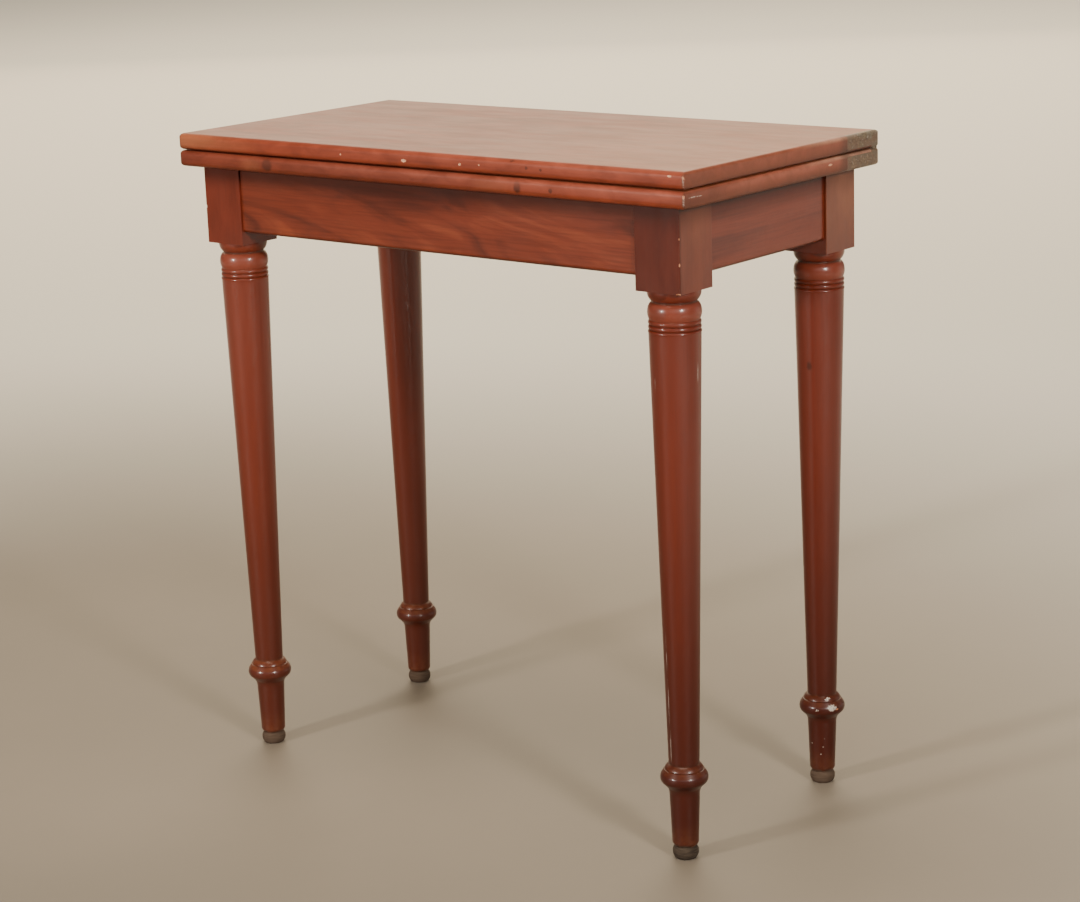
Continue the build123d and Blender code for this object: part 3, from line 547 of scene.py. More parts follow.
def round_edges(piece, wanted, radius, steps):
    """Bevel the edges for which wanted(start, end) is true."""
    take(piece)
    bpy.ops.object.mode_set(mode="EDIT")
    bpy.ops.mesh.select_mode(type="EDGE")
    bpy.ops.mesh.select_all(action="DESELECT")
    bpy.ops.object.mode_set(mode="OBJECT")
    for edge in piece.data.edges:
        start, end = (piece.data.vertices[index].co for index in edge.vertices)
        edge.select = wanted(start, end)
    bpy.ops.object.mode_set(mode="EDIT")
    bpy.ops.mesh.bevel(offset=radius, segments=steps, profile=0.5, affect="EDGES")
    bpy.ops.object.mode_set(mode="OBJECT")


def copy_of(pattern, name, place):
    """Copy a pattern with its own mesh and set the copy down at a place."""
    take(pattern)
    bpy.ops.object.duplicate(linked=False)
    piece = bpy.context.object
    piece.name = name
    piece.location = place
    settle(piece)
    return piece


def along(axis):
    """Give a test for edges that run along an axis: 0 for X, 1 for Y and 2 for Z."""
    return lambda start, end: abs((end - start).normalized()[axis]) > PARALLEL


def work_with(piece, tool, operation, leave_finish=False):
    """Cut a piece with a tool, join them or keep what they share, and remove the tool."""
    take(piece)
    step = piece.modifiers.new("cut", "BOOLEAN")
    step.operation = operation
    step.solver = "EXACT"
    step.material_mode = "TRANSFER" if leave_finish else "INDEX"
    step.object = tool
    bpy.ops.object.modifier_apply(modifier=step.name)
    bpy.data.objects.remove(tool)


def ragged_lumps(places, finish, seed):
    """Make one tool of small ragged lumps, each given by its place and its three radii."""
    lumps = []
    for count, (place, radii) in enumerate(places):
        take(None)
        bpy.ops.mesh.primitive_ico_sphere_add(subdivisions=1, radius=LUMP_RADIUS)
        lump = bpy.context.object
        bpy.ops.object.mode_set(mode="EDIT")
        bpy.ops.mesh.select_all(action="SELECT")
        bpy.ops.transform.vertex_random(offset=LUMP_RAGGEDNESS, seed=seed + count)
        bpy.ops.object.mode_set(mode="OBJECT")
        lump.scale = radii
        lump.location = place
        settle(lump)
        lump.data.materials.append(finish)
        lumps.append(lump)
    take(lumps[0])
    for lump in lumps:
        lump.select_set(True)
    if len(lumps) > 1:
        bpy.ops.object.join()
    return lumps[0]


def smooth(piece):
    """Smooth the shading, and keep it flat across the large faces."""
    take(piece)
    bpy.ops.object.shade_smooth_by_angle(angle=SMOOTH_ANGLE)
    step = piece.modifiers.new("flat faces", "WEIGHTED_NORMAL")
    step.keep_sharp = True
    bpy.ops.object.modifier_apply(modifier=step.name)


def hand_over(piece, node, body):
    """Let a finished piece stand for its CAD node, on its body."""
    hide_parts(node)
    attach(piece, body)


def clothe(nodes, finish):
    """Give CAD nodes a finish."""
    for node in nodes:
        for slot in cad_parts[node].material_slots:
            slot.material = finish


# Turned legs

def arc(start, middle, end, steps):
    """Give points after the start on the arc through three points of radius and height."""
    (ax, ay), (bx, by), (cx, cy) = start, middle, end
    spread = 2 * (ax * (by - cy) + bx * (cy - ay) + cx * (ay - by))
    a, b, c = ax * ax + ay * ay, bx * bx + by * by, cx * cx + cy * cy
    x = (a * (by - cy) + b * (cy - ay) + c * (ay - by)) / spread
    y = (a * (cx - bx) + b * (ax - cx) + c * (bx - ax)) / spread
    radius = math.hypot(ax - x, ay - y)
    first, last = math.atan2(ay - y, ax - x), math.atan2(cy - y, cx - x)
    turn = (last - first + math.pi) % math.tau - math.pi
    return [(x + radius * math.cos(first + turn * count / steps),
             y + radius * math.sin(first + turn * count / steps)) for count in range(1, steps + 1)]


def straight(start, end, pitch=RING_PITCH):
    """Give points after the start on a straight stretch, no further apart than the pitch."""
    steps = max(1, math.ceil(math.dist(start, end) / pitch))
    return [tuple(a + (b - a) * count / steps for a, b in zip(start, end))
            for count in range(1, steps + 1)]


def leg_outline(s, block_bottom):
    """Give the leg's outline from the floor up into the block, as radius and height."""
    line = [(0, 0)]

    def run(radius, height):
        """Go straight to a radius at a height."""
        line.extend(straight(line[-1], (radius, height)))

    def climb(radius, rise):
        """Go straight to a radius, and up by a rise."""
        run(radius, line[-1][1] + rise)

    def swell(widest, radius, rise, share_up, steps):
        """Go up by a rise in an arc that passes a radius at a share of the rise."""
        height = line[-1][1]
        middle = (widest, height + rise * share_up)
        line.extend(arc(line[-1], middle, (radius, height + rise), steps))

    def sweep(radius, rise, shares, steps):
        """Go up by a rise in an arc that passes at two shares of the way outwards and upwards."""
        start = line[-1][0]
        swell(start + (radius - start) * shares[0], radius, rise, shares[1], steps)

    climb(s.toe_floor_radius, 0)
    sweep(s.toe_radius, s.toe_swell, TOE_FOOT_SHARES, 8)
    sweep(s.toe_neck_radius, s.toe_height - s.toe_swell, TOE_TOP_SHARES, 8)
    climb(s.toe_neck_radius, s.neck_rise)
    sweep(s.ankle_radius, s.ankle_height, ANKLE_SHARES, 8)
    climb(s.taper_top_radius, s.taper_height)
    sweep(s.cove_top_radius, s.cove_height, COVE_SHARES, 6)
    climb(s.rim_edge_radius, s.underside_height)
    swell(s.rim_radius, s.rim_edge_radius, s.rim_height, MIDDLE_SHARE, 10)
    climb(s.slope_top_radius, s.slope_height)
    climb(s.groove_radius, s.groove_height / 2)
    climb(s.cap_radius, s.groove_height / 2)
    sweep(s.shaft_bottom_radius, s.cap_height, CAP_SHARES, 8)
    beads = BEAD_COUNT * s.bead_pitch
    above = s.collar_height + s.shoulder_height + s.neck_height + s.ring_height
    run(s.shaft_top_radius, block_bottom - above - beads - s.lip_height)
    swell(s.lip_radius, s.bead_groove_radius, s.lip_height, MIDDLE_SHARE, 6)
    for _ in range(BEAD_COUNT):
        swell(s.bead_radius, s.bead_groove_radius, s.bead_pitch, MIDDLE_SHARE, 8)
    swell(s.collar_radius, s.collar_top_radius, s.collar_height, COLLAR_SHARE, 10)
    swell(s.shoulder_radius, s.neck_radius, s.shoulder_height, SHOULDER_SHARE, 8)
    climb(s.neck_radius, s.neck_height)
    swell(s.ring_radius, s.ring_top_radius, block_bottom - line[-1][1], RING_SHARE, 10)
    climb(s.ring_top_radius, BLOCK_BITE)
    line.extend(straight(line[-1], (0, block_bottom + BLOCK_BITE), s.ring_top_radius))
    return line


def lathe(name, outline, steps):
    """Turn an outline of radius and height about the upright axis through the origin."""
    take(None)
    bpy.ops.mesh.primitive_plane_add(size=RING_PITCH)
    piece = bpy.context.object
    piece.name = name
    bpy.ops.object.mode_set(mode="EDIT")
    bpy.ops.mesh.select_mode(type="VERT")
    bpy.ops.mesh.select_all(action="SELECT")
    bpy.ops.mesh.merge(type="CENTER")
    bpy.ops.transform.translate(value=(outline[0][0], 0, outline[0][1]))
    for before, after in zip(outline, outline[1:]):
        move = (after[0] - before[0], 0, after[1] - before[1])
        bpy.ops.mesh.extrude_vertices_move(TRANSFORM_OT_translate={"value": move})
    bpy.ops.mesh.select_all(action="SELECT")
    bpy.ops.mesh.spin(steps=steps, angle=math.tau, center=(0, 0, 0), axis=(0, 0, 1))
    bpy.ops.mesh.select_all(action="SELECT")
    bpy.ops.mesh.remove_doubles(threshold=MERGE_DISTANCE)
    bpy.ops.mesh.normals_make_consistent(inside=False)
    bpy.ops.object.mode_set(mode="OBJECT")
    return piece


def radius_at(outline, height):
    """Give the outline's radius at a height."""
    for (low_radius, low), (high_radius, high) in zip(outline, outline[1:]):
        if low <= height <= high and high > low:
            return low_radius + (high_radius - low_radius) * (height - low) / (high - low)
    return outline[-2][0]


def mark_hollows(piece, outline, centre, block_bottom):
    """Store how far each point of the turning lies below its neighbours, for dirt and rubbing."""
    pitch = HOLLOW_REACH / HOLLOW_STEPS
    reach = [pitch * count for count in range(-HOLLOW_STEPS, HOLLOW_STEPS + 1)]
    hollows = {}
    values = []
    for vertex in piece.data.vertices:
        height = round(vertex.co.z, 5)
        if height not in hollows:
            nearby = [radius_at(outline, min(max(height + step, 0), block_bottom))
                      for step in reach]
            hollows[height] = sum(nearby) / len(nearby)
        radius = math.hypot(vertex.co.x - centre.x, vertex.co.y - centre.y)
        values.append(hollows[height] - radius if height < block_bottom - MERGE_DISTANCE else 0.0)
    piece.data.attributes.new("hollow", "FLOAT", "POINT").data.foreach_set("value", values)


# Leaves

def leaf_blank(name, low, high, outward, sizes):
    """Make a leaf's board: its rounded section across, the one along and its rounded corners."""
    meeting = high.z if outward < 0 else low.z
    rear = high.y - MERGE_DISTANCE
    lengthwise = along(0)

    def front(start, end):
        return lengthwise(start, end) and start.y < 0

    def rolls(start, end):
        return lengthwise(start, end) and start.y > rear and abs(start.z - meeting) < MERGE_DISTANCE

    def outer_rear(start, end):
        return lengthwise(start, end) and start.y > rear and not rolls(start, end)

    board = add_box(name, low, high)
    round_edges(board, front, sizes.front_round, sizes.round_steps)
    round_edges(board, outer_rear, sizes.edge_round, sizes.round_steps)
    round_edges(board, rolls, sizes.hinge_round, sizes.round_steps)
    across = add_box("across", low, high)
    round_edges(across, along(1), sizes.edge_round, sizes.round_steps)
    work_with(board, across, "INTERSECT")
    plan = add_box("plan", low, high)
    round_edges(plan, along(2), sizes.corner_round, CORNER_STEPS)
    work_with(board, plan, "INTERSECT")
    return board


def let_in_pivot_plate(board, sizes):
    """Cut the pivot plate's recess, open below."""
    low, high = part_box("pivot_plate")
    tool = add_box("recess", low - Vector((0, 0, OVERRUN)), high)
    round_edges(tool, along(2), sizes.pivot_corner, POCKET_STEPS)
    work_with(board, tool, "DIFFERENCE")


def let_in_hinge(board, node, side, outward, sizes):
    """Cut a hinge plate's recess: the long arm and the knuckle at the rear end."""
    low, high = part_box(node)
    knuckle_start = high.y - sizes.knuckle_length
    strip = sizes.wood_strip
    if outward < 0:
        high.z -= strip
        low.z -= OVERRUN
    else:
        low.z += strip
        high.z += OVERRUN
    if side < 0:
        low.x -= OVERRUN
    else:
        high.x += OVERRUN
    high.y += OVERRUN
    work_with(board, add_box("arm", low, high), "DIFFERENCE")
    low.y = knuckle_start
    if outward < 0:
        high.z += strip + OVERRUN
    else:
        low.z -= strip + OVERRUN
    work_with(board, add_box("knuckle", low, high), "DIFFERENCE")


# Finishes

class Recipe:
    """Builds the nodes of one finish, step by step, with the grain of wood along one axis."""

    def __init__(self, name, axis=0):
        self.axis = axis
        self.material = bpy.data.materials.new(name)
        self.material.use_nodes = True
        self.nodes = self.material.node_tree.nodes
        self.links = self.material.node_tree.links
        self.nodes.clear()
        self.surface = self.nodes.new("ShaderNodeBsdfPrincipled")
        output = self.nodes.new("ShaderNodeOutputMaterial")
        self.links.new(self.surface.outputs["BSDF"], output.inputs["Surface"])
        self.place = self.nodes.new("ShaderNodeTexCoord").outputs["Object"]
        axes = self.nodes.new("ShaderNodeSeparateXYZ")
        self.links.new(self.place, axes.inputs[0])
        self.x, self.y, self.z = axes.outputs
        self.colour = None

    def feed(self, socket, value):
        """Link a socket to another, or set it to a plain value."""
        if isinstance(value, bpy.types.NodeSocket):
            self.links.new(value, socket)
        elif socket.type == "RGBA":
            socket.default_value = (*tuple(value)[:3], 1)
        else:
            socket.default_value = value

    def math(self, operation, first, second=0.0):
        """Do one sum with two numbers."""
        node = self.nodes.new("ShaderNodeMath")
        node.operation = operation
        self.feed(node.inputs[0], first)
        self.feed(node.inputs[1], second)
        return node.outputs[0]

    def times(self, first, *others):
        """Multiply numbers."""
        for other in others:
            first = self.math("MULTIPLY", first, other)
        return first

    def plus(self, first, second):
        """Add two numbers."""
        return self.math("ADD", first, second)

    def minus(self, first, second):
        """Take the second number from the first."""
        return self.math("SUBTRACT", first, second)

    def larger(self, first, second):
        """Give the larger of two numbers."""
        return self.math("MAXIMUM", first, second)

    def vector(self, operation, first, second=(0, 0, 0)):
        """Do one sum with vectors, and give the node that does it."""
        node = self.nodes.new("ShaderNodeVectorMath")
        node.operation = operation
        self.feed(node.inputs[0], first)
        self.feed(node.inputs[1], second)
        return node

    def mapping(self, vector, **settings):
        """Scale, turn or shift a vector."""
        node = self.nodes.new("ShaderNodeMapping")
        self.feed(node.inputs["Vector"], vector)
        for name, value in settings.items():
            node.inputs[name].default_value = value
        return node.outputs["Vector"]

    def noise(self, pattern, slant=None, shift=(0, 0, 0), output="Fac"):
        """Give noise from 0 to 1 that follows the grain, turned first where asked."""
        place = self.mapping(self.place, Rotation=slant) if slant else self.place
        scale = [pattern.across] * 3
        scale[self.axis] = pattern.along
        node = self.nodes.new("ShaderNodeTexNoise")
        self.links.new(self.mapping(place, Scale=scale, Location=shift), node.inputs["Vector"])
        node.inputs["Scale"].default_value = 1
        node.inputs["Detail"].default_value = pattern.detail
        node.inputs["Roughness"].default_value = pattern.roughness
        node.inputs["Distortion"].default_value = pattern.distortion
        return node.outputs[output]

    def window(self, value, low, high, to_low=0.0, to_high=1.0):
        """Turn a range of values into a smooth step."""
        node = self.nodes.new("ShaderNodeMapRange")
        node.interpolation_type = "SMOOTHSTEP"
        self.feed(node.inputs["Value"], value)
        node.inputs["From Min"].default_value = low
        node.inputs["From Max"].default_value = high
        node.inputs["To Min"].default_value = to_low
        node.inputs["To Max"].default_value = to_high
        return node.outputs["Result"]

    def band(self, value, start, full, still_full, end):
        """Give 1 in a band of values and 0 outside, with a smooth step at both sides."""
        return self.times(self.window(value, start, full), self.window(value, end, still_full))

    def blend(self, share_of_second, first, second, mode="MIX"):
        """Mix two colours."""
        node = self.nodes.new("ShaderNodeMix")
        node.data_type = "RGBA"
        node.blend_type = mode
        self.feed(node.inputs[0], share_of_second)
        self.feed(node.inputs[6], first)
        self.feed(node.inputs[7], second)
        return node.outputs[2]

    def by_side(self, left, right):
        """Give one number on the left legs and another on the right ones."""
        return self.window(self.x, -SIDE_REACH, SIDE_REACH, left, right)

    def by_row(self, front, rear):
        """Give one number on the front legs and another on the rear ones."""
        return self.window(self.y, -SIDE_REACH, SIDE_REACH, front, rear)

    def lay(self, colour, strength):
        """Lay a colour over the finish so far."""
        self.colour = self.blend(strength, self.colour, colour)

    def stored(self, name):
        """Read a value stored on the mesh."""
        node = self.nodes.new("ShaderNodeAttribute")
        node.attribute_name = name
        return node.outputs["Fac"]

    def edge_distance(self, low, high, mirrored):
        """Give how far the place is from the nearest edge of a box, or of its mirror images."""
        gaps = []
        for across, start, end in zip((self.x, self.y, self.z), low, high):
            if mirrored:
                across = self.math("ABSOLUTE", across)
            gaps.append(self.math("MINIMUM", self.minus(across, start), self.minus(end, across)))
        least = self.math("MINIMUM", gaps[0], gaps[1])
        most = self.larger(gaps[0], gaps[1])
        return self.larger(least, self.math("MINIMUM", most, gaps[2]))

    def spots(self, places, ragged=0.0, core=0.55):
        """Give 1 in the core of ellipsoids, each given by its centre and radii, and 0 outside."""
        place = self.place
        if ragged:
            swirl = self.noise(OUTLINE, output="Color")
            swirl = self.vector("SUBTRACT", swirl, (0.5, 0.5, 0.5)).outputs[0]
            swirl = self.vector("MULTIPLY", swirl, (ragged, ragged, ragged)).outputs[0]
            place = self.vector("ADD", place, swirl).outputs[0]
        total = 0.0
        for centre, radii in places:
            move = self.vector("SUBTRACT", place, centre)
            fit = self.vector("DIVIDE", move.outputs[0], radii)
            far = self.vector("LENGTH", fit.outputs[0])
            total = self.larger(total, self.window(far.outputs["Value"], 1.0, core))
        return total

    def bump(self, height, distance, before=None):
        """Give a normal bent by a height in metres."""
        node = self.nodes.new("ShaderNodeBump")
        node.inputs["Distance"].default_value = distance
        self.feed(node.inputs["Height"], height)
        if before is not None:
            self.links.new(before, node.inputs["Normal"])
        return node.outputs["Normal"]

    def cover(self, roughness, normal, metal=0.0):
        """Give the surface its colour, roughness, relief and metal, and give the material."""
        self.feed(self.surface.inputs["Base Color"], self.colour)
        self.feed(self.surface.inputs["Roughness"], roughness)
        self.feed(self.surface.inputs["Normal"], normal)
        self.feed(self.surface.inputs["Metallic"], metal)
        return self.material


def darker(colour, part_left):
    """Give a colour with only a part of its light left."""
    return tuple(part * part_left for part in colour)


class StainedWood(Recipe):
    """Varnished stained wood with its grain along one axis, and what has aged it."""

    def __init__(self, name, axis, tones, settings, roughness=0.34):
        super().__init__(name, axis)
        self.tones = tones
        self.settings = settings
        # Dark tones: one for dirt and painted shade, one for the shade painted on the legs
        self.deep = darker(tones[0], DEEP_SHARE)
        self.shade_tone = darker(tones[0], SHADE_TONE_SHARE)
        self.cloud = self.noise(CLOUD)
        self.fibre = self.noise(FIBRE)
        self.pore = self.window(self.noise(PORES), 0.62, 0.72)
        self.rough = self.window(self.noise(SHINE), 0.3, 0.75, roughness - 0.04, roughness + 0.06)
        self.gloss_left = 1.0

    def stain(self, contrast, figure=0.0, blotch=0.0, uneven=None):
        """Stain the wood: streaks, fibres and pores, with slanting waves, blotches and painted
        shade along X if asked.
        """
        streaks = self.times(self.noise(STREAK), STREAK_SHARE)
        tone = self.plus(streaks, self.times(self.cloud, CLOUD_SHARE))
        tone = self.plus(tone, self.times(self.noise(WANDER), WANDER_SHARE))
        if figure:
            slant = [0.0, 0.0, 0.0]
            slant[1 - self.axis] = figure
            waves = self.times(self.noise(WAVES, slant), WAVE_SHARE)
            tone = self.plus(self.times(tone, 1 - WAVE_SHARE), waves)
        spread = TONE_SPREAD / contrast
        dark, middle, light = self.tones
        self.colour = self.blend(self.window(tone, 0.5 - spread, 0.5), dark, middle)
        self.lay(light, self.window(tone, 0.5, 0.5 + spread))
        shade = self.window(self.fibre, 0.30, 0.60, 1.0 - 0.14 * contrast, 1.0 + 0.04 * contrast)
        if blotch:
            smear = self.noise(SMEAR)
            blotches = self.window(smear, 0.36, 0.64, 1.0 - blotch, 1.0 + 0.5 * blotch)
            shade = self.times(shade, blotches)
        if uneven:
            shade = self.times(shade, self.window(self.x, *uneven))
        grey = self.nodes.new("ShaderNodeCombineColor")
        for socket in grey.inputs:
            self.feed(socket, shade)
        self.colour = self.blend(1.0, self.colour, grey.outputs[0], "MULTIPLY")
        self.lay(dark, self.times(self.pore, PORE_SHARE))

    def dull(self, strength):
        """Take the varnish's gloss away."""
        self.gloss_left = self.times(self.gloss_left, self.minus(1.0, strength))

    def shade_under_leaves(self, top):
        """Paint shade on the wood under the leaves, and take the gloss off there."""
        uneven = self.plus(self.z, self.times(self.minus(self.cloud, 0.5), UNDER_LEAF_SHADE_WAVE))
        start, full = (top - depth for depth in UNDER_LEAF_SHADE_DEPTHS)
        dirt_and_shade = self.window(uneven, start, full, 0.0, UNDER_LEAF_SHADE_STRENGTH)
        self.lay(self.deep, dirt_and_shade)
        self.dull(dirt_and_shade)

    def shade_foot(self, bottom):
        """Paint shade on an apron's lowest few millimetres."""
        start, full = (bottom + height for height in FOOT_SHADE_HEIGHTS)
        self.lay(self.deep, self.window(self.z, start, full, 0.0, FOOT_SHADE_STRENGTH))

    def fade(self, places, strength, ragged=0.0):
        """Lay golden faded wood in places, which on the legs is painted light."""
        patches = self.window(self.cloud, 0.35, 0.65, strength / 2, strength)
        pale = self.times(self.spots(places, ragged, core=0.2), patches)
        self.lay(self.settings.faded_and_lit_wood, pale)

    def knots(self, places):
        """Add dark dull knots."""
        knot = self.times(self.spots(places, ragged=0.0025, core=0.5), KNOT_STRENGTH)
        self.lay(self.settings.knot, knot)
        self.dull(knot)

    def shade_patches(self, places):
        """Paint dull patches of shade that the grain breaks up."""
        broken = self.window(self.noise(PATCHES), 0.35, 0.68, 0.62, 0.32)
        dirt_and_shade = self.times(self.spots(places, ragged=0.002, core=0.8), broken)
        self.lay(self.deep, dirt_and_shade)
        self.dull(dirt_and_shade)

    def rub_edges(self, ragged, low, high, wear, mirrored=False):
        """Rub the stain off along a box's edges, in patches."""
        far = self.edge_distance(low, high, mirrored)
        worn = self.plus(far, self.times(self.minus(0.62, ragged), RAGGED_SHIFT))
        worn = self.plus(worn, self.times(self.minus(0.66, self.noise(WORN_PATCH)), PATCH_SHIFT))
        rub = self.window(self.minus(worn, wear), *RUB_EDGE)
        self.lay(self.settings.rubbed_wood, self.times(rub, RUB_STRENGTH))
        self.rough = self.plus(self.rough, self.times(rub, 0.12))
        self.dull(rub)

    def scratch(self, places):
        """Add pale scratches that the grain breaks up."""
        breaks = self.window(self.noise(BREAKS), 0.38, 0.58)
        line = self.times(self.spots(places, ragged=0.0012), breaks)
        self.lay(self.settings.paint, self.times(line, SCRATCH_STRENGTH))

    def varnished(self, varnish):
        """Finish with varnish and relief, and give the material."""
        surface = self.surface.inputs
        surface["IOR"].default_value = VARNISH_IOR
        surface["Specular IOR Level"].default_value = VARNISH_SPECULAR
        surface["Coat Roughness"].default_value = VARNISH_ROUGHNESS
        self.feed(surface["Coat Weight"], self.times(self.gloss_left, varnish))
        planing = self.bump(self.noise(PLANING), PLANING_DEPTH)
        dents = self.bump(self.noise(DENTS), DENT_DEPTH, planing)
        self.feed(surface["Coat Normal"], dents)
        fibres = self.minus(self.fibre, self.times(self.pore, 0.5))
        return self.cover(self.rough, self.bump(fibres, FIBRE_DEPTH, dents))


def age_leaf_edges(wood, low, high, look, ragged):
    """Age the edges of a leaf: its end grain, dirt and painted shade beside the joint, handling
    wear and painted light on its upper edges, painted shade and a painted highlight on its ends,
    and a golden top towards the right.
    """
    settings = wood.settings
    x, y, rise = wood.x, wood.y, wood.minus(wood.z, low.z)
    start, full = (high.x - reach for reach in END_GRAIN_REACH)
    end = wood.window(wood.math("ABSOLUTE", x), start, full, 0.0, END_GRAIN_STRENGTH)
    wood.lay(settings.end_grain, end)
    # Dirt and painted shade along the rounding beside the joint, wider on the upper leaf
    joint = high.z if look.below else low.z
    apart = wood.math("ABSOLUTE", wood.minus(wood.z, joint))
    line = wood.times(wood.window(apart, look.joint_dirt_and_shade, look.joint_dirt_and_shade * 0.3),
                      wood.window(apart, 0.0, SEAM_MARGIN),
                      wood.window(ragged, 0.25, 0.6, 0.5, 0.8))
    wood.lay(wood.deep, line)
    smear = wood.noise(SMEAR)
    # Painted light on the upper part of the edges, with some handling wear, in the colour of
    # handled wood
    hands = wood.times(wood.band(rise, *HANDLED_LIT_BAND),
                       wood.window(smear, 0.3, 0.7, look.handled_and_lit * 0.6, look.handled_and_lit * 1.4),
                       wood.window(x, *HANDLED_LIT_ALONG))
    wood.lay(settings.handled_and_lit_wood, hands)
    rim = wood.times(wood.window(rise, *RIM_EDGE),
                     wood.window(x, *RIM_ALONG, 0.0, RIM_STRENGTH))
    wood.lay(settings.faded_and_lit_wood, rim)
    end = wood.times(end, wood.window(rise, 0.0, FACE_MARGIN))
    # Painted shade low on the ends and towards the front corner
    painted_shade = wood.larger(wood.window(rise, *END_FOOT_SHADE, 0.0, END_FOOT_SHADE_STRENGTH),
                      wood.window(y, *SHADED_CORNER_ALONG, 0.0, look.shaded_corner))
    wood.lay(wood.deep, wood.times(end, painted_shade, wood.window(rise, *END_SHADE_HEAD)))
    # Painted highlight along the top of the ends towards the rear
    crown_highlight = wood.times(wood.band(rise, *CROWN_HIGHLIGHT_BAND),
                       wood.window(y, *CROWN_HIGHLIGHT_ALONG, 0.0, CROWN_HIGHLIGHT_STRENGTH),
                       wood.window(ragged, 0.25, 0.6, 0.6, 1.0))
    wood.lay(settings.bare_wood_and_highlight, wood.times(end, crown_highlight))


def leaf_wood(name, low, high, settings):
    """Make the wood of a leaf: faded and handled, with light and shade painted on its edges."""
    look = LEAF_LOOKS[name]
    # The leaf's tones are lifted by fading and painted light
    tones = wood_tones(settings, settings.fading_and_light * look.light)
    wood = StainedWood(f"{name}_leaf_wood", 0, tones, settings, roughness=0.42)
    # Painted shade and light along the lower leaf
    uneven = LOWER_LEAF_SHADE if look.below else None
    wood.stain(contrast=0.75, blotch=0.16, uneven=uneven)
    wood.fade(LEAF_FADED[name], look.faded, ragged=0.012)
    wood.knots(LEAF_KNOTS[name])
    ragged = wood.noise(RAGGED)
    age_leaf_edges(wood, low, high, look, ragged)
    wood.rub_edges(ragged, low, high, LEAF_WEAR)
    dirt_and_shade = wood.spots(HINGE_DIRT, ragged=0.004, core=0.0)
    wood.lay(settings.grime, wood.times(dirt_and_shade, HINGE_DIRT_STRENGTH))
    wood.scratch(LEAF_SCRATCHES[name])
    return wood.varnished(settings.worn_gloss)


def apron_wood(name, axis, low, high, settings):
    """Make the wood of an apron, with slanting waves in the long ones."""
    wood = StainedWood(f"{name}_wood", axis, wood_tones(settings), settings)
    contrast, figure = APRON_FIGURE[axis]
    wood.stain(contrast, figure)
    # Painted shade under the leaves
    wood.shade_under_leaves(high.z)
    # Painted shade along the apron's foot
    wood.shade_foot(low.z)
    return wood.varnished(settings.varnish_gloss)


def age_turning(wood, mottle, block_bottom):
    """Rub the crests of the legs, soil their hollows, darken the right knops, and paint shade low
    down, on the blocks and on the right legs, and light on the left legs.
    """
    settings, height = wood.settings, wood.z
    hollow = wood.stored("hollow")
    crest = wood.times(wood.window(hollow, *CREST_EDGE), mottle, CREST_STRENGTH)
    wood.lay(settings.rubbed_wood, crest)
    dirt_and_shade = wood.times(wood.window(hollow, *HOLLOW_EDGE), HOLLOW_STRENGTH)
    wood.lay(settings.grime, dirt_and_shade)
    # Painted shade: the legs darker towards the floor, more on the right legs, and the right legs
    # darker all over
    lower_shade = wood.times(wood.window(height, *LOWER_SHADE_EDGE), wood.by_side(*LOWER_SHADE_BY_SIDE))
    wood.lay(wood.shade_tone, lower_shade)
    wood.lay(wood.shade_tone, wood.by_side(*SHADE_BY_SIDE))
    # Painted light on the turnings of the left legs
    turned = wood.window(height, block_bottom, block_bottom - TURNED_FADE)
    wood.lay(settings.painted_leg_light, wood.times(wood.by_side(*PAINTED_LIGHT_BY_SIDE), turned))
    scuffs = wood.times(wood.window(height, *SCUFF_EDGE), mottle, SCUFF_STRENGTH)
    wood.lay(settings.faded_and_lit_wood, scuffs)
    collar = wood.times(wood.band(height, *COLLAR_BAND), COLLAR_STRENGTH)
    wood.lay(settings.handled_and_lit_wood, collar)
    # Painted shade on the blocks under the leaves, broken by clouds
    cloudy = wood.noise(CLOUDS, shift=(3, 0, 0))
    block = wood.times(wood.window(height, block_bottom - BLOCK_SHADE_FADE, block_bottom),
                       wood.window(cloudy, 0.35, 0.65, 0.0, BLOCK_SHADE_STRENGTH))
    wood.lay(wood.shade_tone, block)
    knop = wood.times(wood.band(height, *KNOP_BAND), wood.by_side(*KNOP_BY_SIDE))
    wood.lay(wood.shade_tone, knop)


def wear_toe(wood, mottle):
    """Wear the toe down to dirty ringed wood, and dust the top of the knop."""
    settings = wood.settings
    edge = wood.plus(wood.z, wood.times(wood.minus(mottle, 0.6), TOE_WAVE))
    toe = wood.window(edge, *TOE_EDGE)
    rings = wood.window(wood.noise(TOE_RINGS), 0.35, 0.62)
    worn = wood.blend(rings, settings.grime, settings.toe_wood)
    cleaner = wood.larger(wood.by_side(*CLEAN_BY_SIDE), wood.by_row(*CLEAN_BY_ROW))
    wood.lay(wood.blend(cleaner, worn, settings.pale_toe), toe)
    dusty = wood.band(wood.z, *DUST_BAND)
    wood.lay(settings.faded_and_lit_wood, wood.times(dusty, mottle, wood.by_side(*DUST_BY_SIDE)))
    wood.rough = wood.larger(wood.rough, wood.times(toe, 0.8))
    wood.rough = wood.plus(wood.rough, wood.times(toe, 0.2))
    wood.dull(wood.larger(toe, wood.times(dusty, 0.85)))


def splash_paint(wood):
    """Leave flaked white paint and flecks on the rear right leg."""
    breaks = wood.window(wood.noise(BREAKS), 0.36, 0.5)
    flakes = wood.times(wood.spots(LEG_PAINT, ragged=0.006, core=0.75), breaks)
    paint = wood.times(wood.larger(flakes, wood.spots(LEG_FLECKS)), PAINT_STRENGTH)
    wood.lay(wood.settings.paint, paint)
    wood.dull(paint)


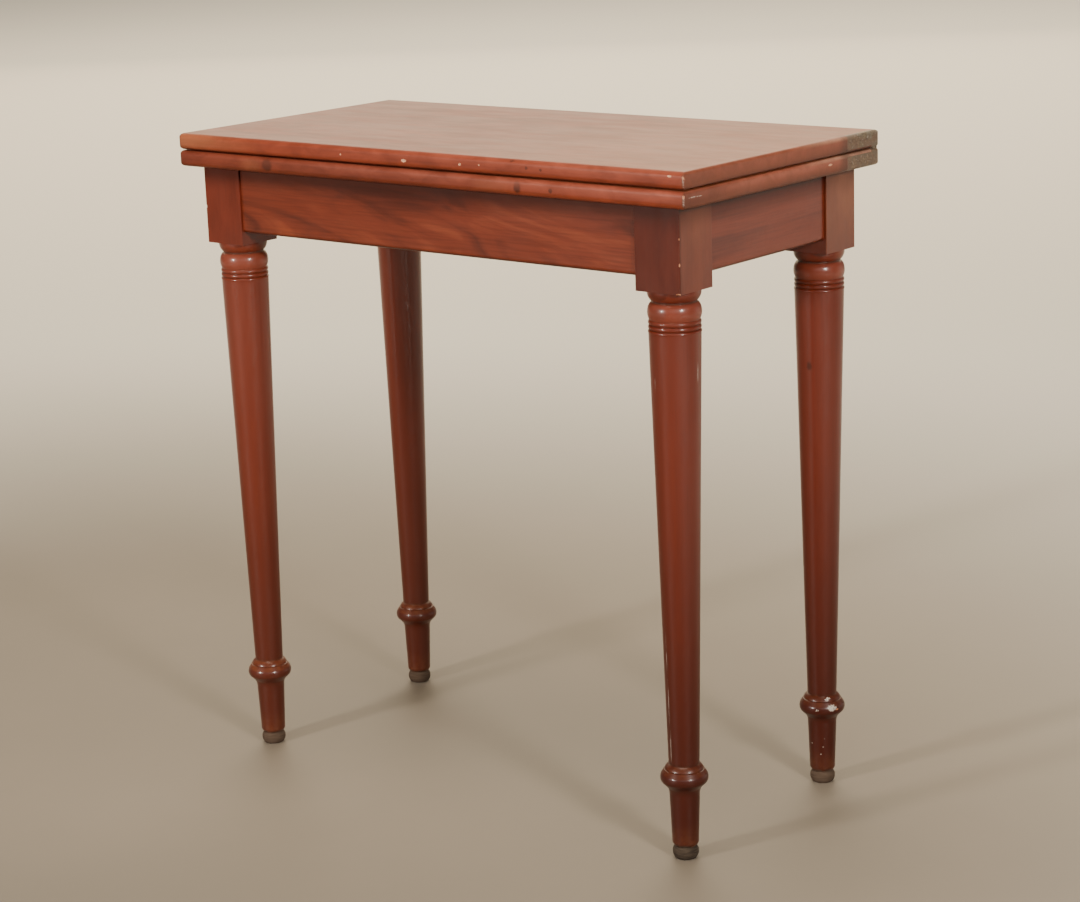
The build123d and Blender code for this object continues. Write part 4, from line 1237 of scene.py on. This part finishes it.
def leg_wood(low, high, settings):
    """Make the wood of the legs, for a block between two corners and its mirror images."""
    tones = settings.leg_dark, settings.leg_middle, settings.leg_light
    wood = StainedWood("leg_wood", 2, tones, settings)
    wood.stain(contrast=0.55)
    # Painted shade at the top of the blocks, under the leaves
    wood.shade_under_leaves(high[2])
    # Painted light on the right faces of the right posts, laid as faded wood
    wood.fade(RIGHT_POST_LIGHT, RIGHT_POST_LIGHT_STRENGTH)
    wood.knots(LEG_KNOTS)
    # Painted shade over the front of the front right post
    wood.shade_patches(FRONT_POST_SHADE)
    wood.rub_edges(wood.noise(RAGGED), low, high, LEG_WEAR, mirrored=True)
    mottle = wood.window(wood.noise(MOTTLE), 0.35, 0.65, 0.35, 1.0)
    age_turning(wood, mottle, low[2])
    wear_toe(wood, mottle)
    wood.scratch(LEG_SCRATCHES)
    splash_paint(wood)
    return wood.varnished(settings.varnish_gloss)


def wood_tones(settings, light=1.0):
    """Give the dark, middle and light stain of the flat pieces, made lighter on the leaves by
    fading and painted light.
    """
    stains = settings.wood_dark, settings.wood_middle, settings.wood_light
    return [darker(tone, light) for tone in stains]


def plain_wood(name, axis, settings):
    """Make the bare wood inside the frame, with its grain along one axis."""
    r = Recipe(name, axis)
    fibre = r.noise(BARE_FIBRE)
    tone = r.plus(r.times(r.noise(BARE_STREAK), 0.65), r.times(fibre, 0.35))
    deep = darker(settings.inner_wood, 0.55)
    r.colour = r.blend(r.window(tone, 0.35, 0.62), deep, settings.inner_wood)
    dirt_and_shade = r.window(r.noise(BARE_DIRT), 0.45, 0.75)
    r.lay(settings.grime, r.times(dirt_and_shade, 0.35))
    return r.cover(r.window(fibre, 0.3, 0.7, 0.62, 0.8), r.bump(tone, BARE_DEPTH))


def aged_brass(settings):
    """Make brass with brown tarnish, green crust, pits and soil, with painted shade below the joint
    and painted glints.
    """
    r = Recipe("aged_brass")
    broad = r.noise(CRUST)
    fine = r.noise(BRASS_SPECKS)
    r.colour = r.blend(r.window(fine, 0.35, 0.65), settings.tarnish, settings.brass)
    crust = r.window(r.plus(broad, r.times(fine, 0.35)), 0.60, 0.78)
    r.lay(settings.verdigris, crust)
    # Painted glints: white specks laid over the brass
    painted_glints = r.window(r.noise(GLINTS), 0.61, 0.68)
    r.lay(settings.paint, r.times(painted_glints, 0.5))
    soil_and_shade = r.window(r.noise(BRASS_SOIL), 0.42, 0.62, 0.0, 0.65)
    front = r.window(r.plus(r.y, r.times(fine, 0.012)), *BRASS_FRONT, 0.0, 0.8)
    # Painted shade on the brass below the joint, laid with the soil
    soil_and_shade = r.larger(r.larger(soil_and_shade, front), r.window(r.z, *BRASS_JOINT_SHADE, 0.0, 0.45))
    r.lay(settings.soil_and_shade, soil_and_shade)
    r.lay(settings.paint, r.window(r.z, *BRASS_ARRIS, 0.0, 0.12))
    metal = r.times(r.window(crust, 0.0, 1.0, 0.75, 0.15), r.minus(1.0, soil_and_shade))
    pits = r.bump(broad, PIT_DEPTH)
    return r.cover(r.window(fine, 0.3, 0.7, 0.42, 0.62), r.bump(fine, SPECK_DEPTH, pits), metal)


def dark_iron(settings):
    """Make dull dark iron with a little rust."""
    r = Recipe("dark_iron")
    fine = r.noise(IRON_SPECKS)
    rust = r.window(r.noise(RUST_SPOTS), 0.55, 0.75)
    r.colour = r.blend(rust, settings.iron, settings.rust)
    metal = r.window(rust, 0.0, 1.0, 0.9, 0.3)
    return r.cover(r.window(fine, 0.3, 0.7, 0.42, 0.68), r.bump(fine, BARE_DEPTH), metal)


def chip_wood(settings, bareness):
    """Make the torn wood inside a chip, paler the barer it is."""
    r = Recipe("chip_wood")
    fine = r.noise(TORN_FIBRE)
    palest = Vector(settings.rubbed_wood).lerp(Vector(settings.bare_wood_and_highlight), bareness)
    r.colour = r.blend(fine, settings.rubbed_wood, palest)
    return r.cover(r.window(fine, 0.3, 0.7, 0.6, 0.8), r.bump(fine, BARE_DEPTH))


# Stage

def floor_finish(studio):
    """Make the plain floor, a little mottled, with painted shade to the left and in front and
    painted light far away.
    """
    r = Recipe("studio_floor")
    mottle = r.window(r.noise(FLOOR_PATCHES), 0.3, 0.7)
    near = r.blend(mottle, darker(studio.floor_colour, FLOOR_MOTTLE), studio.floor_colour)
    # Painted shade on the floor to the left of the table and in front of it
    across, inwards = math.cos(studio.camera_bearing), math.sin(studio.camera_bearing)
    sideways = r.vector("DOT_PRODUCT", r.place, (across, inwards, 0)).outputs["Value"]
    ahead = r.vector("DOT_PRODUCT", r.place, (-inwards, across, 0)).outputs["Value"]
    painted_shade = r.vector("SCALE", near)
    r.feed(painted_shade.inputs["Scale"], r.times(r.window(sideways, *FLOOR_LEFT, 1.0),
                                        r.window(ahead, *FLOOR_FRONT, 1.0)))
    # Painted light: the floor pales far from the table
    away = r.vector("LENGTH", r.vector("SUBTRACT", r.place, FLOOR_CENTRE).outputs[0])
    far = r.window(away.outputs["Value"], *FLOOR_FAR)
    r.feed(r.surface.inputs["Base Color"], r.blend(far, painted_shade.outputs[0], studio.far_floor_painted_light))
    r.surface.inputs["Roughness"].default_value = FLOOR_ROUGHNESS
    return r.material


def add_lamp(name, place, target, width, height, watts, colour, bearing):
    """Add a soft lamp that faces a point, or that faces down with its sides along the bearing."""
    data = bpy.data.lights.new(name, "AREA")
    data.energy = watts
    data.color = colour
    data.shape = "RECTANGLE" if height else "DISK"
    data.size = width
    if height:
        data.size_y = height
    lamp = bpy.data.objects.new(name, data)
    lamp.location = place
    lamp.rotation_euler = (0, 0, bearing)
    if target:
        lamp.rotation_euler = (Vector(target) - Vector(place)).to_track_quat("-Z", "Y").to_euler()
    lamp.visible_camera = False
    bpy.context.scene.collection.objects.link(lamp)


def surround(scene, studio):
    """Light the scene faintly from all round."""
    scene.world = bpy.data.worlds.new("surroundings")
    scene.world.use_nodes = True
    sky = scene.world.node_tree.nodes["Background"]
    sky.inputs["Color"].default_value = (*studio.air_colour, 1)
    sky.inputs["Strength"].default_value = studio.air_strength


def place_camera(scene, studio):
    """Put the camera where the photograph was taken from."""
    data = bpy.data.cameras.new("camera")
    data.sensor_width = SENSOR_WIDTH
    data.lens = studio.lens
    camera = bpy.data.objects.new("camera", data)
    turn = Matrix.Rotation(studio.camera_bearing, 4, "Z")
    turn @= Matrix.Rotation(math.pi / 2 + studio.camera_tilt, 4, "X")
    turn @= Matrix.Rotation(studio.camera_roll, 4, "Z")
    camera.matrix_world = Matrix.Translation(studio.camera_place) @ turn
    scene.collection.objects.link(camera)
    scene.camera = camera


# Operators

class CARD_TABLE_OT_turn_legs(bpy.types.Operator):
    """Turn the four legs and finish them"""

    bl_idname = "card_table.turn_legs"
    bl_label = "Turn the legs"

    def execute(self, context):
        sizes, settings = context.scene.card_table_legs, context.scene.card_table_finishes
        low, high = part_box("leg_front_right")
        block_bottom = high.z - sizes.block_height
        x, y = (abs(part) for part in ((low + high) / 2).xy)
        half = (high.x - low.x) / 2
        outline = leg_outline(sizes, block_bottom)
        pattern = lathe("leg_pattern", outline, sizes.steps)
        block = add_box("block", (-half, -half, block_bottom), (half, half, high.z))
        round_edges(block, along(2), sizes.block_round, CORNER_STEPS)
        work_with(pattern, block, "UNION")
        wood = leg_wood((x - half, y - half, block_bottom), (x + half, y + half, high.z), settings)
        pattern.data.materials.append(wood)
        chipped = chip_wood(settings, bareness=0.1)
        for row, column in CORNERS:
            node = f"leg_{row}_{column}"
            low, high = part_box(node)
            centre = (low + high) / 2
            leg = copy_of(pattern, f"turned_{node}", (centre.x, centre.y, 0))
            chips = ragged_lumps(LEG_CHIPS[row, column], chipped, LEG_SEED)
            work_with(leg, chips, "DIFFERENCE", leave_finish=True)
            smooth(leg)
            mark_hollows(leg, outline, centre, block_bottom)
            hand_over(leg, node, "base")
        bpy.data.objects.remove(pattern)
        return {"FINISHED"}


class CARD_TABLE_OT_shape_leaves(bpy.types.Operator):
    """Shape the two leaves, let in the hinges and the pivot plate, and finish them"""

    bl_idname = "card_table.shape_leaves"
    bl_label = "Shape the leaves"

    def execute(self, context):
        sizes, settings = context.scene.card_table_leaves, context.scene.card_table_finishes
        chipped = chip_wood(settings, bareness=0.8)
        for outward, name in ((-1, "lower"), (1, "upper")):
            node = f"{name}_leaf"
            low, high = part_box(node)
            board = leaf_blank(f"{name}_board", low, high, outward, sizes)
            for side, side_name in ((-1, "left"), (1, "right")):
                let_in_hinge(board, f"hinge_plate_{name}_{side_name}", side, outward, sizes)
            if outward < 0:
                let_in_pivot_plate(board, sizes)
            board.data.materials.append(leaf_wood(name, low, high, settings))
            chips = ragged_lumps(LEAF_CHIPS[name], chipped, LEAF_SEED)
            work_with(board, chips, "DIFFERENCE", leave_finish=True)
            smooth(board)
            hand_over(board, node, node)
        return {"FINISHED"}


class CARD_TABLE_OT_finish_aprons(bpy.types.Operator):
    """Finish the four aprons"""

    bl_idname = "card_table.finish_aprons"
    bl_label = "Finish the aprons"

    def execute(self, context):
        settings = context.scene.card_table_finishes
        for axis, sides in enumerate((("front", "rear"), ("left", "right"))):
            for side in sides:
                node = f"{side}_apron"
                clothe([node], apron_wood(node, axis, *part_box(node), settings))
        return {"FINISHED"}


class CARD_TABLE_OT_finish_hinges(bpy.types.Operator):
    """Finish the hinge plates, links, pins and screws"""

    bl_idname = "card_table.finish_hinges"
    bl_label = "Finish the hinges"

    def execute(self, context):
        brass = aged_brass(context.scene.card_table_finishes)
        clothe([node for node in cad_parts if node.startswith("hinge_")], brass)
        return {"FINISHED"}


class CARD_TABLE_OT_finish_pivot(bpy.types.Operator):
    """Finish the pivot, the stop block and the screws in the frame"""

    bl_idname = "card_table.finish_pivot"
    bl_label = "Finish the pivot"

    def execute(self, context):
        settings = context.scene.card_table_finishes
        clothe(("pivot_plate", "pivot_bolt", "pivot_washer", "pivot_nut", "pivot_plate_screws",
                "stop_screws", "rail_screws", "bearer_screws"), dark_iron(settings))
        clothe(("pivot_rail",), plain_wood("rail_wood", 1, settings))
        clothe(("stop_block",), plain_wood("stop_wood", 1, settings))
        return {"FINISHED"}


class CARD_TABLE_OT_finish_well(bpy.types.Operator):
    """Finish the card well's floor, partition and bearers"""

    bl_idname = "card_table.finish_well"
    bl_label = "Finish the card well"

    def execute(self, context):
        settings = context.scene.card_table_finishes
        clothe(("well_floor", "well_bearer_front", "well_bearer_rear"),
               plain_wood("well_long_wood", 0, settings))
        clothe(("well_partition", "well_bearer_left"), plain_wood("well_cross_wood", 1, settings))
        return {"FINISHED"}


class CARD_TABLE_OT_set_stage(bpy.types.Operator):
    """Set up the floor, the lights and the camera"""

    bl_idname = "card_table.set_stage"
    bl_label = "Set the stage"

    def execute(self, context):
        studio = context.scene.card_table_studio
        take(None)
        bpy.ops.mesh.primitive_plane_add(size=studio.floor_size, location=(0, 0, 0))
        floor = context.object
        floor.name = "studio_floor"
        floor.data.materials.append(floor_finish(studio))
        surround(context.scene, studio)
        for lamp in LAMPS:
            add_lamp(*lamp, studio.camera_bearing)
        place_camera(context.scene, studio)
        return {"FINISHED"}


class CARD_TABLE_PT_builder(bpy.types.Panel):
    """Lists the steps that build the card table"""

    bl_label = "Card table"
    bl_idname = "CARD_TABLE_PT_builder"
    bl_space_type = "VIEW_3D"
    bl_region_type = "UI"
    bl_category = "Card table"

    def draw(self, context):
        for step in STEPS:
            self.layout.operator(step.bl_idname)


STEPS = (CARD_TABLE_OT_turn_legs, CARD_TABLE_OT_shape_leaves, CARD_TABLE_OT_finish_aprons,
         CARD_TABLE_OT_finish_hinges, CARD_TABLE_OT_finish_pivot, CARD_TABLE_OT_finish_well,
         CARD_TABLE_OT_set_stage)
GROUPS = {"card_table_legs": TurnedLegSizes, "card_table_leaves": LeafSizes,
          "card_table_finishes": Finishes, "card_table_studio": StudioSettings}


def register():
    """Register the sizes, the steps and the panel."""
    for name, group in GROUPS.items():
        bpy.utils.register_class(group)
        setattr(bpy.types.Scene, name, PointerProperty(type=group))
    for step in STEPS:
        bpy.utils.register_class(step)
    bpy.utils.register_class(CARD_TABLE_PT_builder)


def unregister():
    """Take the panel, the steps and the sizes away again."""
    bpy.utils.unregister_class(CARD_TABLE_PT_builder)
    for step in reversed(STEPS):
        bpy.utils.unregister_class(step)
    for name, group in GROUPS.items():
        delattr(bpy.types.Scene, name)
        bpy.utils.unregister_class(group)


def main():
    """Build the table step by step."""
    register()
    bpy.ops.card_table.turn_legs()
    bpy.ops.card_table.shape_leaves()
    bpy.ops.card_table.finish_aprons()
    bpy.ops.card_table.finish_hinges()
    bpy.ops.card_table.finish_pivot()
    bpy.ops.card_table.finish_well()
    bpy.ops.card_table.set_stage()


if __name__ == "__main__":
    main()
